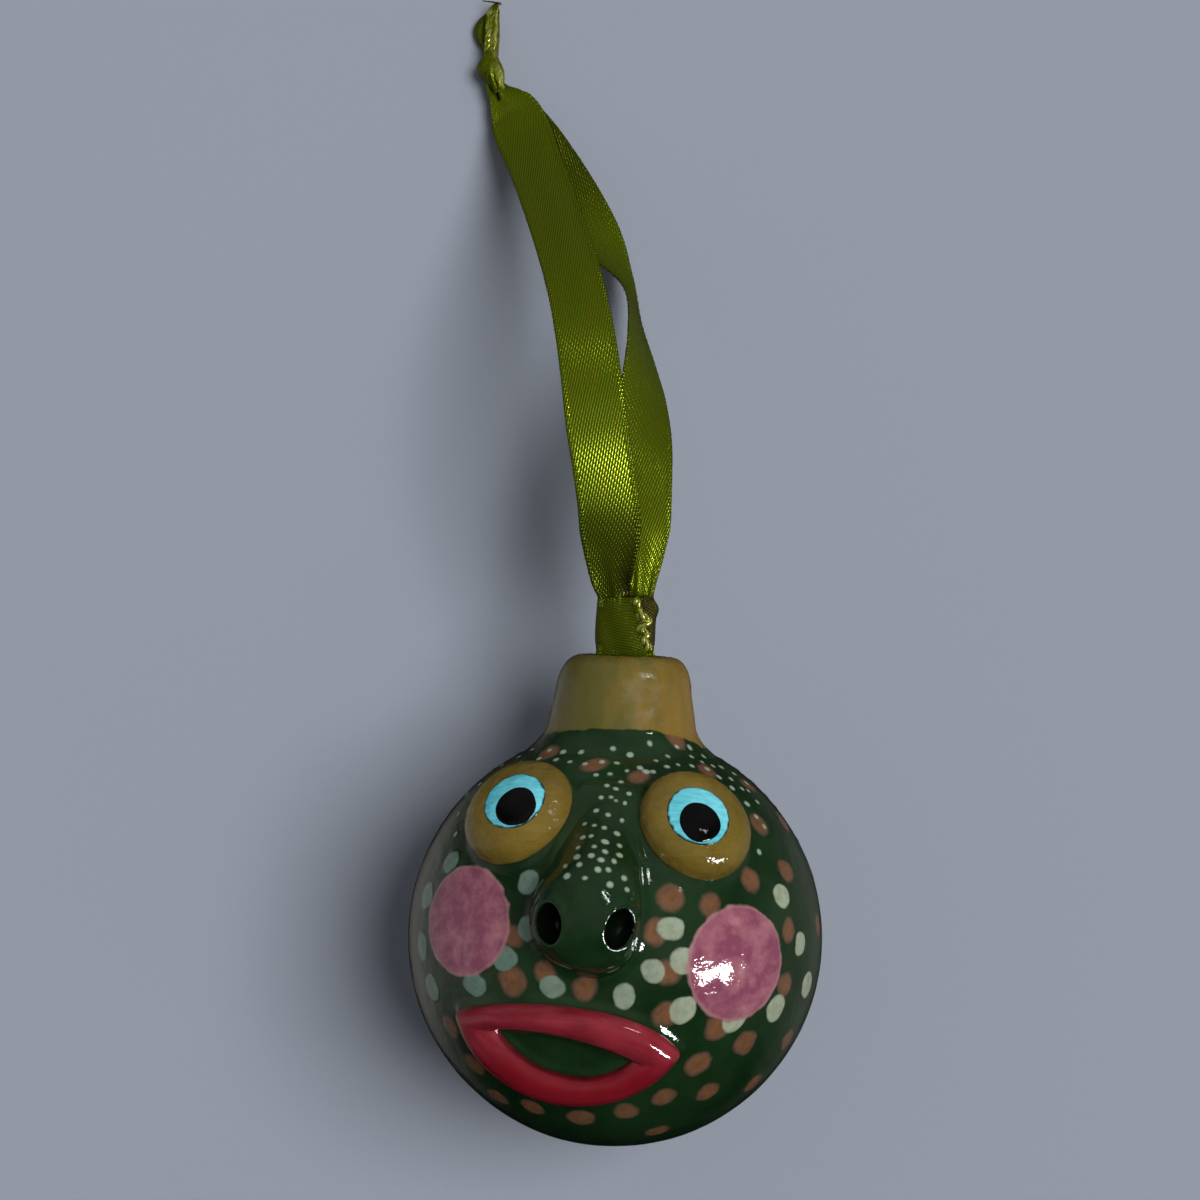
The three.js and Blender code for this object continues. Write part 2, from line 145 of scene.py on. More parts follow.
# Neck: heights above the ball's middle of the points down its bore, and its side between the rounded rim and
# the flare as pairs of a distance from its line and a height, all in millimetres
BORE_HEIGHTS = (27.5, 31, 36, 41)
COLLAR_SIDE = [(11.6, 38.2), (11.95, 36.2)]

# Ribbon: sideways place and distance beyond the hitch in metres, height as a share of the wire's height, the
# share of the width that lies spread, and the roll in degrees
FRONT_STRAND = [
    (-0.0021, 0.0003, 1.04, 0.56, 0),
    (-0.0027, 0.0031, 1.077, 0.69, 0),
    (-0.0029, 0.0064, 1.117, 0.85, 0),
    (-0.0031, 0.0106, 1.16, 1, 0),
    (-0.0037, 0.0155, 1.2, 1, 0),
    (-0.0048, 0.0219, 1.237, 1, 0),
    (-0.00595, 0.0278, 1.249, 1, 0),
    (-0.007, 0.0349, 1.225, 0.99, 0),
    (-0.0084, 0.0428, 1.145, 0.97, 0),
    (-0.0102, 0.0507, 1.003, 0.95, 0),
    (-0.0126, 0.0586, 0.806, 0.94, 0),
    (-0.0155, 0.0668, 0.566, 0.93, 0),
    (-0.0182, 0.0741, 0.345, 0.94, 0),
    (-0.0205, 0.0799, 0.182, 1, 0),
    (-0.0222, 0.0838, 0.108, 0.92, 0),
    (-0.0238, 0.0859, 0.09, 0.72, 0),
    (-0.0251, 0.0874, 0.085, 0.46, 0),
    (-0.0262, 0.0886, 0.085, 0.28, 0),
]
REAR_STRAND = [
    (0.0021, 0.0003, 0.963, 0.46, 0),
    (0.0023, 0.0033, 0.963, 0.54, 0),
    (0.0024, 0.0067, 0.96, 0.7, 0),
    (0.0021, 0.011, 0.945, 0.94, 0),
    (0.0019, 0.0159, 0.911, 1, 0),
    (0.0019, 0.0227, 0.837, 1, -4),
    (0.0018, 0.0291, 0.745, 1, -20),
    (0.0017, 0.0357, 0.634, 1, -44),
    (0.00085, 0.0437, 0.505, 1, -69),
    (-0.0009, 0.0513, 0.369, 1, -81),
    (-0.0043, 0.0578, 0.252, 1, -57),
    (-0.0084, 0.0647, 0.142, 0.98, -22),
    (-0.0134, 0.0729, 0.062, 0.92, -6),
    (-0.0182, 0.0798, 0.034, 0.86, 0),
    (-0.0216, 0.0844, 0.032, 0.7, 0),
    (-0.0246, 0.0874, 0.038, 0.44, 0),
    (-0.0262, 0.0891, 0.049, 0.3, 0),
]
LONG_TAIL = [
    (-0.0269, 0.0925, 0.09, 0.26, -16),
    (-0.02685, 0.0944, 0.09, 0.28, -20),
    (-0.02676, 0.0969, 0.092, 0.29, -24),
    (-0.02675, 0.099, 0.092, 0.29, -26),
    (-0.02673, 0.1011, 0.088, 0.26, -24),
    (-0.0265, 0.1021, 0.084, 0.21, -20),
    (-0.0263, 0.1029, 0.08, 0.13, -16),
    (-0.0258, 0.1036, 0.075, 0.04, -16),
]
SHORT_TAIL = [
    (-0.0277, 0.0938, 0.05, 0.1, 0),
    (-0.0281, 0.0958, 0.05, 0.12, 10),
    (-0.0286, 0.0969, 0.052, 0.19, 16),
    (-0.0288, 0.0979, 0.055, 0.25, 20),
    (-0.0289, 0.099, 0.055, 0.26, 20),
    (-0.0286, 0.1, 0.055, 0.23, 16),
    (-0.02805, 0.1011, 0.052, 0.14, 10),
    (-0.0276, 0.1018, 0.05, 0.05, 0),
]

# The knot, drawn in by a turn of the ribbon: distance beyond the hitch, left edge and right edge in metres,
# then how high its middle lies
KNOT_OUTLINE = [
    (0.0877, -0.0262, -0.0247),
    (0.0885, -0.0269, -0.0242),
    (0.0896, -0.028, -0.0243),
    (0.0907, -0.0289, -0.02445),
    (0.0918, -0.0292, -0.0246),
    (0.0929, -0.0289, -0.0251),
    (0.0938, -0.0284, -0.02545),
    (0.0949, -0.0281, -0.02555),
]
KNOT_HEIGHT = 0.0028

# Where a strand's cloth starts inside the hitch, and its last row inside the knot
STRAND_START = -0.0018
STRAND_END = (-0.0266, 0.0903, 0.09, 0.2, 0)

# Rows of cloth along a strand and along a tail, and points of a cord's path
STRAND_ROWS = 440
TAIL_ROWS = 90
PATH_POINTS = 420

# Painted shadow where the front strand is tucked in below the knot: sideways place and distance beyond the
# hitch of its two ends, then its half width
TUCK_SHADOW = ((-0.0259, 0.0888), (-0.0252, 0.0865))
TUCK_SHADOW_WIDTH = 0.00032

# Painted shade on the cloth, as how much darker it lies. Pairs of a place and a share: distances beyond the
# hitch on the front strand, places along the neck's line on the rear one. Then one share for all of the
# hitch's band.
FRONT_SHADE = [(0.001, 0.55), (0.005, 0.45), (0.012, 0.42), (0.017, 0)]
REAR_SHADE = [(0.119, 0), (0.131, 0.5)]
BAND_SHADE = 0.45

# Crumpled edge of the ribbon across the front of the hitch: sideways place and height above the ball's
# middle, then its section as pairs of width and height in millimetres
CREASE = [
    (0.0012, 0.0557), (0.0017, 0.0549), (0.0022, 0.0533), (0.0036, 0.0523), (0.0029, 0.0515),
    (0.0024, 0.0507), (0.0033, 0.0498), (0.003, 0.0491), (0.0037, 0.0479), (0.0043, 0.0462),
]
CREASE_PROFILE = [
    (-0.75, -0.25), (-0.65, 0.14), (-0.35, 0.4), (0.1, 0.42), (0.5, 0.24), (0.8, -0.05), (0.9, -0.3),
]

# Millimetres between the small white dots on the hidden side of the neck
SPECK_PITCH = 2.9

# Distance in millimetres that stands for no mark nearby
FAR = 20.0

# Cosine of the widest angle, seen from the ball's middle, at which a mark still counts
MARK_REACH = 0.9

# Painted slip: its height, and the width of its shoulder, in millimetres
SLIP = {"pale": (0.1, 0.5), "tan": (0.05, 0.5), "cheek": (0.1, 0.6), "speck": (0.13, 0.35)}

GLAZE_ROUGHNESS = 0.05

# Brown dots above this share of the ball's radius run on over the root of the nose
BROW_LEVEL = 0.66

# Millimetres from one bead of the ribbon's woven edge to the next
BEAD_PITCH = 0.62

# Strip lamps: the point that they face, then the distance, length and width of each in metres
STRIP_TARGET = (0, 0.03, 0.02)
STRIP = (1.04, 0.33, 0.05)
EYE_STRIP = (0.9, 0.17, 0.027)


def number_prop(name, description, default, **kind):
    return bpy.props.FloatProperty(name=name, description=description, default=default, **kind)


def length_prop(name, description, default):
    return number_prop(name, description, default, min=0, precision=5, unit="LENGTH", subtype="DISTANCE")


def angle_prop(name, description, degrees):
    return number_prop(name, description, math.radians(degrees), unit="ROTATION", subtype="ANGLE")


def count_prop(name, description, default):
    return bpy.props.IntProperty(name=name, description=description, default=default, min=8)


def triple_prop(name, description, default, **kind):
    return bpy.props.FloatVectorProperty(name=name, description=description, default=default, size=3, **kind)


def place_prop(name, description, default):
    return triple_prop(name, description, default, precision=5, unit="LENGTH", subtype="XYZ_LENGTH")


def direction_prop(name, description, default):
    return triple_prop(name, description, default, subtype="DIRECTION")


def colour_prop(name, description, default):
    return triple_prop(name, description, default, min=0, max=1, subtype="COLOR")


class OrnamentSizes(bpy.types.PropertyGroup):
    """Sizes of the clay pieces and of the ribbon"""

    ball_radius: length_prop("Ball radius", "Outside radius of the ball", BALL_HIGH.x)
    ball_wall: length_prop("Ball wall", "Thickness of the clay wall", 0.004)
    bore_radius: length_prop("Bore radius", "Radius of the hole through the neck", 0.0063)
    lump: length_prop("Lump height", "How far the hand-built surface wanders", 0.00007)
    pool: length_prop("Glaze pool", "Height of the glaze that pools at the foot of a raised piece", 0.0005)
    front_grid: count_prop("Front grid", "Faces along a quarter of the ball's girth, on the front", 156)
    back_grid: count_prop("Back grid", "The same on the back of the ball", 104)
    inner_grid: count_prop("Inner grid", "The same inside the hollow", 32)
    mound_radii: place_prop("Mound radii", "Half sizes of an eye mound", (0.0091, 0.0095, 0.006))
    mound_edge: length_prop("Mound edge", "Height of a mound's widest level above its own origin", 0.0007)
    mound_tuck: length_prop("Mound tuck", "How far a mound's foot curves in below its widest level", 0.0024)
    mound_fullness: number_prop("Mound fullness", "2 is an ellipsoid, more is fuller", 2.35, min=2)
    mound_sink: length_prop("Mound sink", "How deep the middle of a mound lies under the surface", 0.001)
    iris_radius: length_prop("Iris radius", "Radius of the turquoise button", 0.00505)
    pupil_radius: length_prop("Pupil radius", "Radius of the black button", 0.0034)
    lip_rise: length_prop("Lip rise", "Height of the lips above the ball", 0.0033)
    ribbon_width: length_prop("Ribbon width", "Width of the satin ribbon", 0.01)
    ribbon_thickness: length_prop("Ribbon thickness", "Thickness of the satin ribbon", 0.00032)
    weave_pitch: number_prop("Weave pitch", "Millimetres from one row of the satin weave to the next", 0.44)
    weave_float: number_prop("Weave float", "Millimetres along one float of the weave", 0.95)
    weave_slant: angle_prop("Weave slant", "Slant of the rows of the weave", 19)


class OrnamentColours(bpy.types.PropertyGroup):
    """Colours of the glazes and of the ribbon"""

    green: colour_prop("Green", "Ground glaze of the ball", (0.0115, 0.0345, 0.0115))
    deep_green: colour_prop("Deep green", "Ground glaze where it lies thick", (0.004, 0.018, 0.005))
    ochre: colour_prop("Ochre", "Glaze of the neck and the eye mounds", (0.205, 0.138, 0.024))
    turquoise: colour_prop("Turquoise", "Glaze of the irises", (0.20, 0.69, 0.78))
    black: colour_prop("Black", "Glaze of the pupils", (0.003, 0.003, 0.004))
    red: colour_prop("Red", "Glaze of the lips", (0.275, 0.019, 0.032))
    pink: colour_prop("Pink", "Paint of the cheeks", (0.30, 0.075, 0.135))
    pale: colour_prop("Pale", "Paint of the pale dots", (0.34, 0.38, 0.27))
    pale_shade: colour_prop("Pale shade", "Thinner paint of the dots on the left", (0.125, 0.20, 0.16))
    tan: colour_prop("Tan", "Paint of the brown dots", (0.155, 0.075, 0.046))
    tan_middle: colour_prop("Tan middle", "Warmer middle of the brown dots", (0.185, 0.082, 0.036))
    speck: colour_prop("Speck", "Slip of the small white dots", (0.34, 0.43, 0.32))
    ribbon: colour_prop("Ribbon", "Satin of the ribbon", (0.13, 0.173, 0.003))
    # Painted glints on single floats of crumpled satin
    glint: colour_prop("Glint", "Single bright floats of crumpled satin", (0.47, 0.46, 0.13))
    wire: colour_prop("Wire", "Oxidised hanging wire", (0.13, 0.11, 0.095))
    floor: colour_prop("Floor", "Paper that the ornament lies on", (0.296, 0.323, 0.381))


class OrnamentView(bpy.types.PropertyGroup):
    """Camera and lamps"""

    camera_place: place_prop("Camera place", "Where the camera hangs", (-0.0044, 0.05523, 0.4825))
    camera_roll: angle_prop("Camera roll", "Turn of the camera about its own line", 2)
    key_direction: direction_prop("Key direction", "Toward the broad soft light", (0.42, 0.13, 0.92))
    key_level: number_prop("Key level", "Share of a colour that the key brings out", 0.79, min=0, max=2)
    key_angle: angle_prop("Key angle", "How broad the key is", 33)
    strip_radiance: number_prop("Strip radiance", "Brightness of the strip lamp", 180, min=0)
    strip_direction: direction_prop("Strip direction", "Toward the strip lamp", (0.8, -0.222, 0.559))
    strip_lean: direction_prop("Strip lean", "Long axis of the strip lamp", (0.57, 0.105, -0.82))
    eye_share: number_prop("Eye strip share", "Its brightness as a share of the strip lamp's", 0.33, min=0)
    eye_direction: direction_prop("Eye strip direction", "Toward the lamp in the eyes", (0.6, 0.56, 0.57))
    eye_lean: direction_prop("Eye strip lean", "Long axis of that lamp", (0.8, -0.45, -0.4))


# Small tools

def settings(name):
    """The ornament's sizes, its colours or its view, as the scene holds them."""
    return getattr(bpy.context.scene, f"ornament_{name}")


def deselect_all():
    if bpy.context.mode != "OBJECT":
        bpy.ops.object.mode_set(mode="OBJECT")
    bpy.ops.object.select_all(action="DESELECT")


def activate(obj):
    deselect_all()
    obj.select_set(True)
    bpy.context.view_layer.objects.active = obj


@contextmanager
def editing(obj):
    """Edit mode on one piece, with all of it selected."""
    activate(obj)
    bpy.ops.object.mode_set(mode="EDIT")
    bpy.ops.mesh.select_all(action="SELECT")
    yield
    bpy.ops.object.mode_set(mode="OBJECT")


def take_new(name):
    """The object that an operator just added, under its own name."""
    obj = bpy.context.active_object
    obj.name = name
    obj.data.name = name
    return obj


def unit_sphere(name, segments, rings):
    deselect_all()
    bpy.ops.mesh.primitive_uv_sphere_add(segments=segments, ring_count=rings, radius=1)
    return take_new(name)


def read_points(obj):
    points = np.empty(len(obj.data.vertices) * 3)
    obj.data.vertices.foreach_get("co", points)
    return points.reshape(-1, 3)


def write_points(obj, points):
    obj.data.vertices.foreach_set("co", np.asarray(points, float).ravel())
    obj.data.update()


def write_attribute(obj, name, values):
    attribute = obj.data.attributes.get(name) or obj.data.attributes.new(name, "FLOAT", "POINT")
    attribute.data.foreach_set("value", np.asarray(values, np.float32))


def apply_modifier(obj, kind, **options):
    activate(obj)
    modifier = obj.modifiers.new(kind.title(), kind)
    for key, value in options.items():
        setattr(modifier, key, value)
    bpy.ops.object.modifier_apply(modifier=modifier.name)


def cut_away(obj, cutter):
    apply_modifier(obj, "BOOLEAN", operation="DIFFERENCE", object=cutter, solver="MANIFOLD")
    bpy.data.objects.remove(cutter)


def loft(name, points, ring_size, uv=None, uv_name="weave", closed_run=False):
    """A skin over rings of points, capped at both ends or joined into one closed run."""
    ring_count = len(points) // ring_size
    faces = []
    for i in range(ring_count if closed_run else ring_count - 1):
        ring, following = i * ring_size, (i + 1) % ring_count * ring_size
        for k in range(ring_size):
            n = (k + 1) % ring_size
            faces.append((ring + k, ring + n, following + n, following + k))
    if not closed_run:
        faces.append(tuple(reversed(range(ring_size))))
        faces.append(tuple(range(len(points) - ring_size, len(points))))
    mesh = bpy.data.meshes.new(name)
    mesh.from_pydata([tuple(p) for p in points], [], faces)
    mesh.update()
    obj = bpy.data.objects.new(name, mesh)
    bpy.context.scene.collection.objects.link(obj)
    if uv:
        layer = mesh.uv_layers.new(name=uv_name)
        for loop in mesh.loops:
            layer.data[loop.index].uv = uv[loop.vertex_index]
    with editing(obj):
        bpy.ops.mesh.normals_make_consistent(inside=False)
    return obj


def put_at(obj, matrix):
    """Moves a piece to its place and leaves the place in its mesh."""
    obj.matrix_world = matrix
    activate(obj)
    bpy.ops.object.transform_apply(location=True, rotation=True, scale=True)


def finish_piece(obj, material, slot, *nodes, smooth=50):
    """Smooth shading, one material, the body that the piece rides and the nodes that it stands for."""
    activate(obj)
    bpy.ops.object.shade_smooth_by_angle(angle=math.radians(smooth))
    obj.data.materials.clear()
    obj.data.materials.append(material)
    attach(obj, "hanger" if slot == "satin_ribbon" else "ornament")
    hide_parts(*nodes)
    return obj


def wander(points, size, seed):
    """Smooth noise between -1 and 1 at each point, with lumps of the given size."""
    shift = Vector((seed * 7.3, seed * 3.1, seed * 5.7))
    return np.array([noise.noise(Vector(p) / size + shift) for p in points])


def round_steps(count):
    """Angle, cosine and sine at even steps round a ring."""
    turns = (2 * math.pi * k / count for k in range(count))
    return [(turn, math.cos(turn), math.sin(turn)) for turn in turns]


def smooth_curve(rows, count):
    """Points at even steps along a smooth curve through every row."""
    rows = np.asarray(rows, float)
    padded = np.vstack([2 * rows[0] - rows[1], rows, 2 * rows[-1] - rows[-2]])
    steps = np.linspace(0, len(rows) - 1, count)
    at = np.minimum(steps.astype(int), len(rows) - 2)
    t = (steps - at)[:, None]
    a, b, c, d = (padded[at + k] for k in range(4))
    return 0.5 * (2 * b + (c - a) * t + (2 * a - 5 * b + 4 * c - d) * t**2 + (3 * b - a - 3 * c + d) * t**3)


def ball_axes(across, up, roll=0):
    """Right, toward the neck and outward at a place on the ball, turned clockwise by roll."""
    a, u, r = math.radians(across), math.radians(up), math.radians(roll)
    outward = Vector((math.sin(a) * math.cos(u), math.sin(u), math.cos(a) * math.cos(u)))
    east = Vector((math.cos(a), 0, -math.sin(a)))
    north = outward.cross(east)
    return (east * math.cos(r) - north * math.sin(r), east * math.sin(r) + north * math.cos(r), outward)


def ball_matrix(across, up, roll, lift):
    """Places a piece on the ball, with its own Z pointing outward."""
    right, toward_neck, outward = ball_axes(across, up, roll)
    matrix = Matrix((right, toward_neck, outward)).transposed().to_4x4()
    matrix.translation = BALL_CENTRE + outward * lift
    return matrix


def camera_axes(view):
    roll = view.camera_roll
    return Vector((math.cos(roll), math.sin(roll), 0)), Vector((-math.sin(roll), math.cos(roll), 0))


def seen_on_ball(pixel, rise=0):
    """Direction from the ball's middle to what the camera sees at a pixel, at a rise above the ball."""
    view = settings("view")
    radius = settings("sizes").ball_radius + rise
    right, up = camera_axes(view)
    start = Vector(view.camera_place) - BALL_CENTRE
    half = PHOTO_SIDE / 2
    ray = right * (pixel[0] - half) + up * (half - pixel[1]) - Vector((0, 0, PHOTO_FOCAL))
    ray.normalize()
    along = -start.dot(ray)
    miss = start.length_squared - along**2
    depth = math.sqrt(max(radius**2 - miss, 0))
    return (start + ray * (along - depth)).normalized()


def seen_on_rise(pixel, heights):
    """The same where the skin rises above the ball: heights holds pairs of degrees up and millimetres."""
    direction = seen_on_ball(pixel)
    for attempt in range(4):
        up = math.degrees(math.asin(direction.y))
        rise = np.interp(up, [h[0] for h in heights], [h[1] for h in heights])
        direction = seen_on_ball(pixel, float(rise) * MM)
    return direction


# Shader tools

class Wiring:
    """Places shader nodes in one tree and joins them."""

    def __init__(self, tree):
        self.tree = tree

    def feed(self, node, inputs):
        """Joins sockets to a node's inputs, and sets plain values on them."""
        for key, value in dict(inputs).items():
            if isinstance(value, bpy.types.NodeSocket):
                self.tree.links.new(value, node.inputs[key])
            else:
                node.inputs[key].default_value = value
        return node

    def add(self, kind, inputs=(), **options):
        node = self.tree.nodes.new(kind)
        for key, value in options.items():
            setattr(node, key, value)
        return self.feed(node, inputs)

    def math(self, operation, *values, clamp=False):
        return self.add("ShaderNodeMath", enumerate(values), operation=operation, use_clamp=clamp).outputs[0]

    def times(self, first, second):
        return self.math("MULTIPLY", first, second)

    def plus(self, first, second):
        return self.math("ADD", first, second)

    def split(self, vector):
        return self.add("ShaderNodeSeparateXYZ", {0: vector}).outputs

    def joined(self, *values):
        return self.add("ShaderNodeCombineXYZ", enumerate(values)).outputs[0]

    def random(self, vector):
        return self.add("ShaderNodeTexWhiteNoise", {"Vector": vector}).outputs["Value"]

    def vector(self, operation, *values):
        return self.add("ShaderNodeVectorMath", enumerate(values), operation=operation).outputs[0]

    def noise(self, vector, scale, detail=3.0, roughness=0.55):
        inputs = {"Vector": vector, "Scale": scale, "Detail": detail, "Roughness": roughness}
        return self.add("ShaderNodeTexNoise", inputs).outputs["Fac"]

    def ramp(self, value, low, high, start=0.0, end=1.0):
        inputs = {"Value": value, "From Min": low, "From Max": high, "To Min": start, "To Max": end}
        return self.add("ShaderNodeMapRange", inputs, clamp=True).outputs["Result"]

    def mix(self, share, first, second):
        first, second = (c if isinstance(c, bpy.types.NodeSocket) else (*c, 1) for c in (first, second))
        node = self.add("ShaderNodeMix", {0: share, 6: first, 7: second}, data_type="RGBA")
        return node.outputs[2]

    def attribute(self, name):
        return self.add("ShaderNodeAttribute", attribute_name=name).outputs["Fac"]

    def uv(self, name):
        return self.add("ShaderNodeUVMap", uv_map=name).outputs["UV"]

    def millimetres(self):
        """Object coordinates in millimetres."""
        place = self.add("ShaderNodeTexCoord").outputs["Object"]
        return self.vector("MULTIPLY", place, (1 / MM, 1 / MM, 1 / MM))

    def bump(self, height, distance):
        inputs = {"Height": height, "Distance": distance, "Strength": 1.0}
        return self.add("ShaderNodeBump", inputs).outputs["Normal"]

    def group(self, name, build, inputs):
        """A shared node group in this tree, built by the first material that asks for it."""
        tree = bpy.data.node_groups.get(name) or build(name)
        return self.add("ShaderNodeGroup", inputs, node_tree=tree).outputs


def new_group(name, inputs, outputs):
    """An empty node group with its sockets, and the wiring for what goes inside."""
    tree = bpy.data.node_groups.new(name, "ShaderNodeTree")
    for side, sockets in (("INPUT", inputs), ("OUTPUT", outputs)):
        for socket in sockets:
            kind = "NodeSocketVector" if socket in ("Place", "Weave") else "NodeSocketFloat"
            tree.interface.new_socket(socket, in_out=side, socket_type=kind)
    wiring = Wiring(tree)
    return tree, wiring, wiring.add("NodeGroupInput").outputs, wiring.add("NodeGroupOutput")


def brushed_mark_group(name):
    """Mask of a painted mark from the distance to its edge, with an edge that wobbles as a brush does."""
    tree, w, given, out = new_group(name, ("Distance", "Place", "Wobble", "Softness"), ("Mask",))
    wave = w.math("SUBTRACT", w.noise(given["Place"], 0.42, 2, 0.4), 0.5)
    edge = w.math("MULTIPLY_ADD", wave, given["Wobble"], given["Distance"])
    faded = w.math("DIVIDE", edge, given["Softness"])
    w.feed(out, {"Mask": w.math("SUBTRACT", 0.5, faded, clamp=True)})
    return tree


def glaze_depth_group(name):
    """How thick the glaze lies, its brush streaks and the ripple of its surface."""
    tree, w, given, out = new_group(name, ("Place", "Seed"), ("Depth", "Streak", "Ripple"))
    place = w.vector("ADD", given["Place"], w.joined(given["Seed"], given["Seed"], given["Seed"]))
    stretched = w.vector("MULTIPLY", place, (0.35, 1.6, 1.2))
    fine = w.noise(place, 2.2, 2, 0.4)
    wide = w.noise(place, 0.45, 1, 0.4)
    w.feed(out, {
        "Depth": w.ramp(w.noise(place, 0.11, 4), 0.3, 0.7),
        "Streak": w.noise(stretched, 1.1, 5, 0.65),
        "Ripple": w.math("MULTIPLY_ADD", wide, 4.0, fine),
    })
    return tree


def satin_group(name):
    """Floats of a satin weave in slanting rows, from millimetres across and along the ribbon."""
    tree, w, given, out = new_group(name, ("Weave", "Pitch", "Float", "Slant"), ("Height", "Tone", "Row"))
    split = w.split(given["Weave"])
    turn_sine = w.math("SINE", given["Slant"])
    turn_cosine = w.math("COSINE", given["Slant"])
    beside = w.math("SUBTRACT", w.times(split[0], turn_cosine), w.times(split[1], turn_sine))
    ahead = w.math("MULTIPLY_ADD", split[0], turn_sine, w.times(split[1], turn_cosine))
    row_place = w.math("DIVIDE", beside, given["Pitch"])
    row_number = w.math("FLOOR", row_place)
    row_round = w.math("SINE", w.times(w.math("FRACT", row_place), math.pi))
    float_place = w.math("MULTIPLY_ADD", row_number, 0.37, w.math("DIVIDE", ahead, given["Float"]))
    float_round = w.math("SINE", w.times(w.math("FRACT", float_place), math.pi))
    w.feed(out, {
        "Height": w.times(row_round, w.math("POWER", float_round, 0.22)),
        "Tone": w.random(w.joined(row_number, w.math("FLOOR", float_place), 0.0)),
        "Row": w.random(w.joined(row_number, 0.0, 0.0)),
    })
    return tree


def new_material(name):
    """A material with its wiring and its main shader."""
    material = bpy.data.materials.new(name)
    material.use_nodes = True
    tree = material.node_tree
    return material, Wiring(tree), tree.nodes["Principled BSDF"]


def finish_surface(w, shader, base, normal, roughness, **constants):
    """Feeds the main shader; constants are plain values by socket name, with _ for a space."""
    w.feed(shader, {"Base Color": base, "Normal": normal, "Roughness": roughness})
    w.feed(shader, {name.replace("_", " "): value for name, value in constants.items()})


# Materials

def glaze_depth(w, place, seed):
    return w.group("Glaze depth", glaze_depth_group, {"Place": place, "Seed": seed})


def mark(w, place, name, wobble, softness, share=1):
    """Mask of the painted mark whose distance is stored under a name, at most as strong as share."""
    inputs = {"Distance": w.attribute(name), "Place": place, "Wobble": wobble, "Softness": softness}
    mask = w.group("Brushed mark", brushed_mark_group, inputs)["Mask"]
    return mask if share == 1 else w.times(mask, share)


def painted_glaze():
    """Green and ochre ground with the painted marks, under one clear coat; painted light runs across the
    neck, painted shade lies in the nostrils.
    """
    colours = settings("colours")
    material, w, shader = new_material("painted_green_glaze")
    place = w.millimetres()
    side = w.split(place)[0]
    mottle = w.noise(place, 0.9, 3, 0.5)
    depth = glaze_depth(w, place, seed=3.0)
    base = w.mix(depth["Depth"], colours.deep_green, colours.green)
    base = w.mix(w.ramp(w.noise(place, 0.07, 2), 0.5, 0.75, 0, 0.35), base, (0.02, 0.035, 0.008))

    tan_paint = w.mix(w.ramp(w.attribute("tan"), -1.3, -0.3), colours.tan_middle, colours.tan)
    tan_mark = mark(w, place, "tan", 1.1, 0.7, share=w.ramp(mottle, 0.25, 0.6, 0.6, 0.97))
    base = w.mix(tan_mark, base, tan_paint)
    pale_paint = w.mix(w.ramp(side, -16, 14), colours.pale_shade, colours.pale)
    pale_mark = mark(w, place, "pale", 1.0, 0.35, share=w.ramp(mottle, 0.25, 0.6, 0.72, 1))
    base = w.mix(pale_mark, base, pale_paint)

    cloud = w.noise(place, 0.3, 5, 0.6)
    pink = w.mix(w.ramp(cloud, 0.4, 0.72), [c * 0.8 for c in colours.pink], (0.42, 0.17, 0.2))
    rim = w.ramp(w.math("ABSOLUTE", w.plus(w.attribute("cheek"), 0.1)), 0.1, 0.55, 0.45, 0)
    pink = w.mix(rim, pink, (0.40, 0.26, 0.22))
    base = w.mix(mark(w, place, "cheek", 1.2, 0.4, share=0.95), base, pink)
    base = w.mix(mark(w, place, "speck", 0.3, 0.28, share=0.85), base, colours.speck)

    red, green, blue = colours.ochre
    # The neck's ochre runs from olive to warm in brushed bands and, as painted light, from darker on the left
    # to lighter on the right
    bands = w.noise(w.vector("MULTIPLY", place, (0.3, 0.06, 0.3)), 1.0, 3)
    neck_tone_and_light = w.math("MULTIPLY_ADD", w.math("SUBTRACT", bands, 0.5), 1.6, w.ramp(side, -4, 14, 0, 1))
    olive, warm = (red * 0.52, green * 0.68, blue * 0.8), (red * 1.15, green, blue)
    neck = mark(w, place, "ochre", 0.9, 0.25)
    base = w.mix(neck, base, w.mix(w.ramp(neck_tone_and_light, 0.1, 0.9), olive, warm))
    # Painted shade: near black deep in the nostril pits
    base = w.mix(w.ramp(w.attribute("pit"), -0.5, 0.25, 1, 0), base, (0.0015, 0.003, 0.0015))
    dulled = w.times(neck, w.ramp(w.noise(place, 0.5, 3), 0.35, 0.6, 0.08, 0.24))
    normal = w.bump(depth["Ripple"], 0.00003)
    finish_surface(w, shader, base, normal, w.plus(dulled, GLAZE_ROUGHNESS), IOR=1.5)
    return material


def plain_glaze(name, light, dark, streak_range, seed, ripple=0.00003):
    """One glaze colour with brush streaks, worn a little toward its darker shade."""
    material, w, shader = new_material(name)
    place = w.millimetres()
    depth = glaze_depth(w, place, seed)
    shade = w.math("MULTIPLY_ADD", depth["Streak"], 0.65, w.times(depth["Depth"], 0.35))
    base = w.mix(w.ramp(shade, *streak_range), dark, light)
    return material, w, shader, base, w.bump(depth["Ripple"], ripple), place


def uneven(w, place, distance, scale, detail, strength):
    """A stored distance that wanders by smooth noise, for an edge that a brush left."""
    wave = w.math("SUBTRACT", w.noise(place, scale, detail), 0.5)
    return w.math("MULTIPLY_ADD", wave, strength, w.attribute(distance))


def mound_glaze():
    ochre = settings("colours").ochre
    material, w, shader, base, normal, place = plain_glaze(
        "ochre_glaze", ochre, [c * 0.6 for c in ochre], streak_range=(0.25, 0.75), seed=11.0, ripple=0.00007)
    foot = uneven(w, place, "foot", scale=0.7, detail=3, strength=0.5)
    base = w.mix(w.ramp(foot, 0.25, 0.6, 0.5, 0), base, (0.30, 0.25, 0.11))
    base = w.mix(w.ramp(foot, -0.15, 0.15, 0.9, 0), base, (0.012, 0.02, 0.006))
    finish_surface(w, shader, base, normal, GLAZE_ROUGHNESS)
    return material


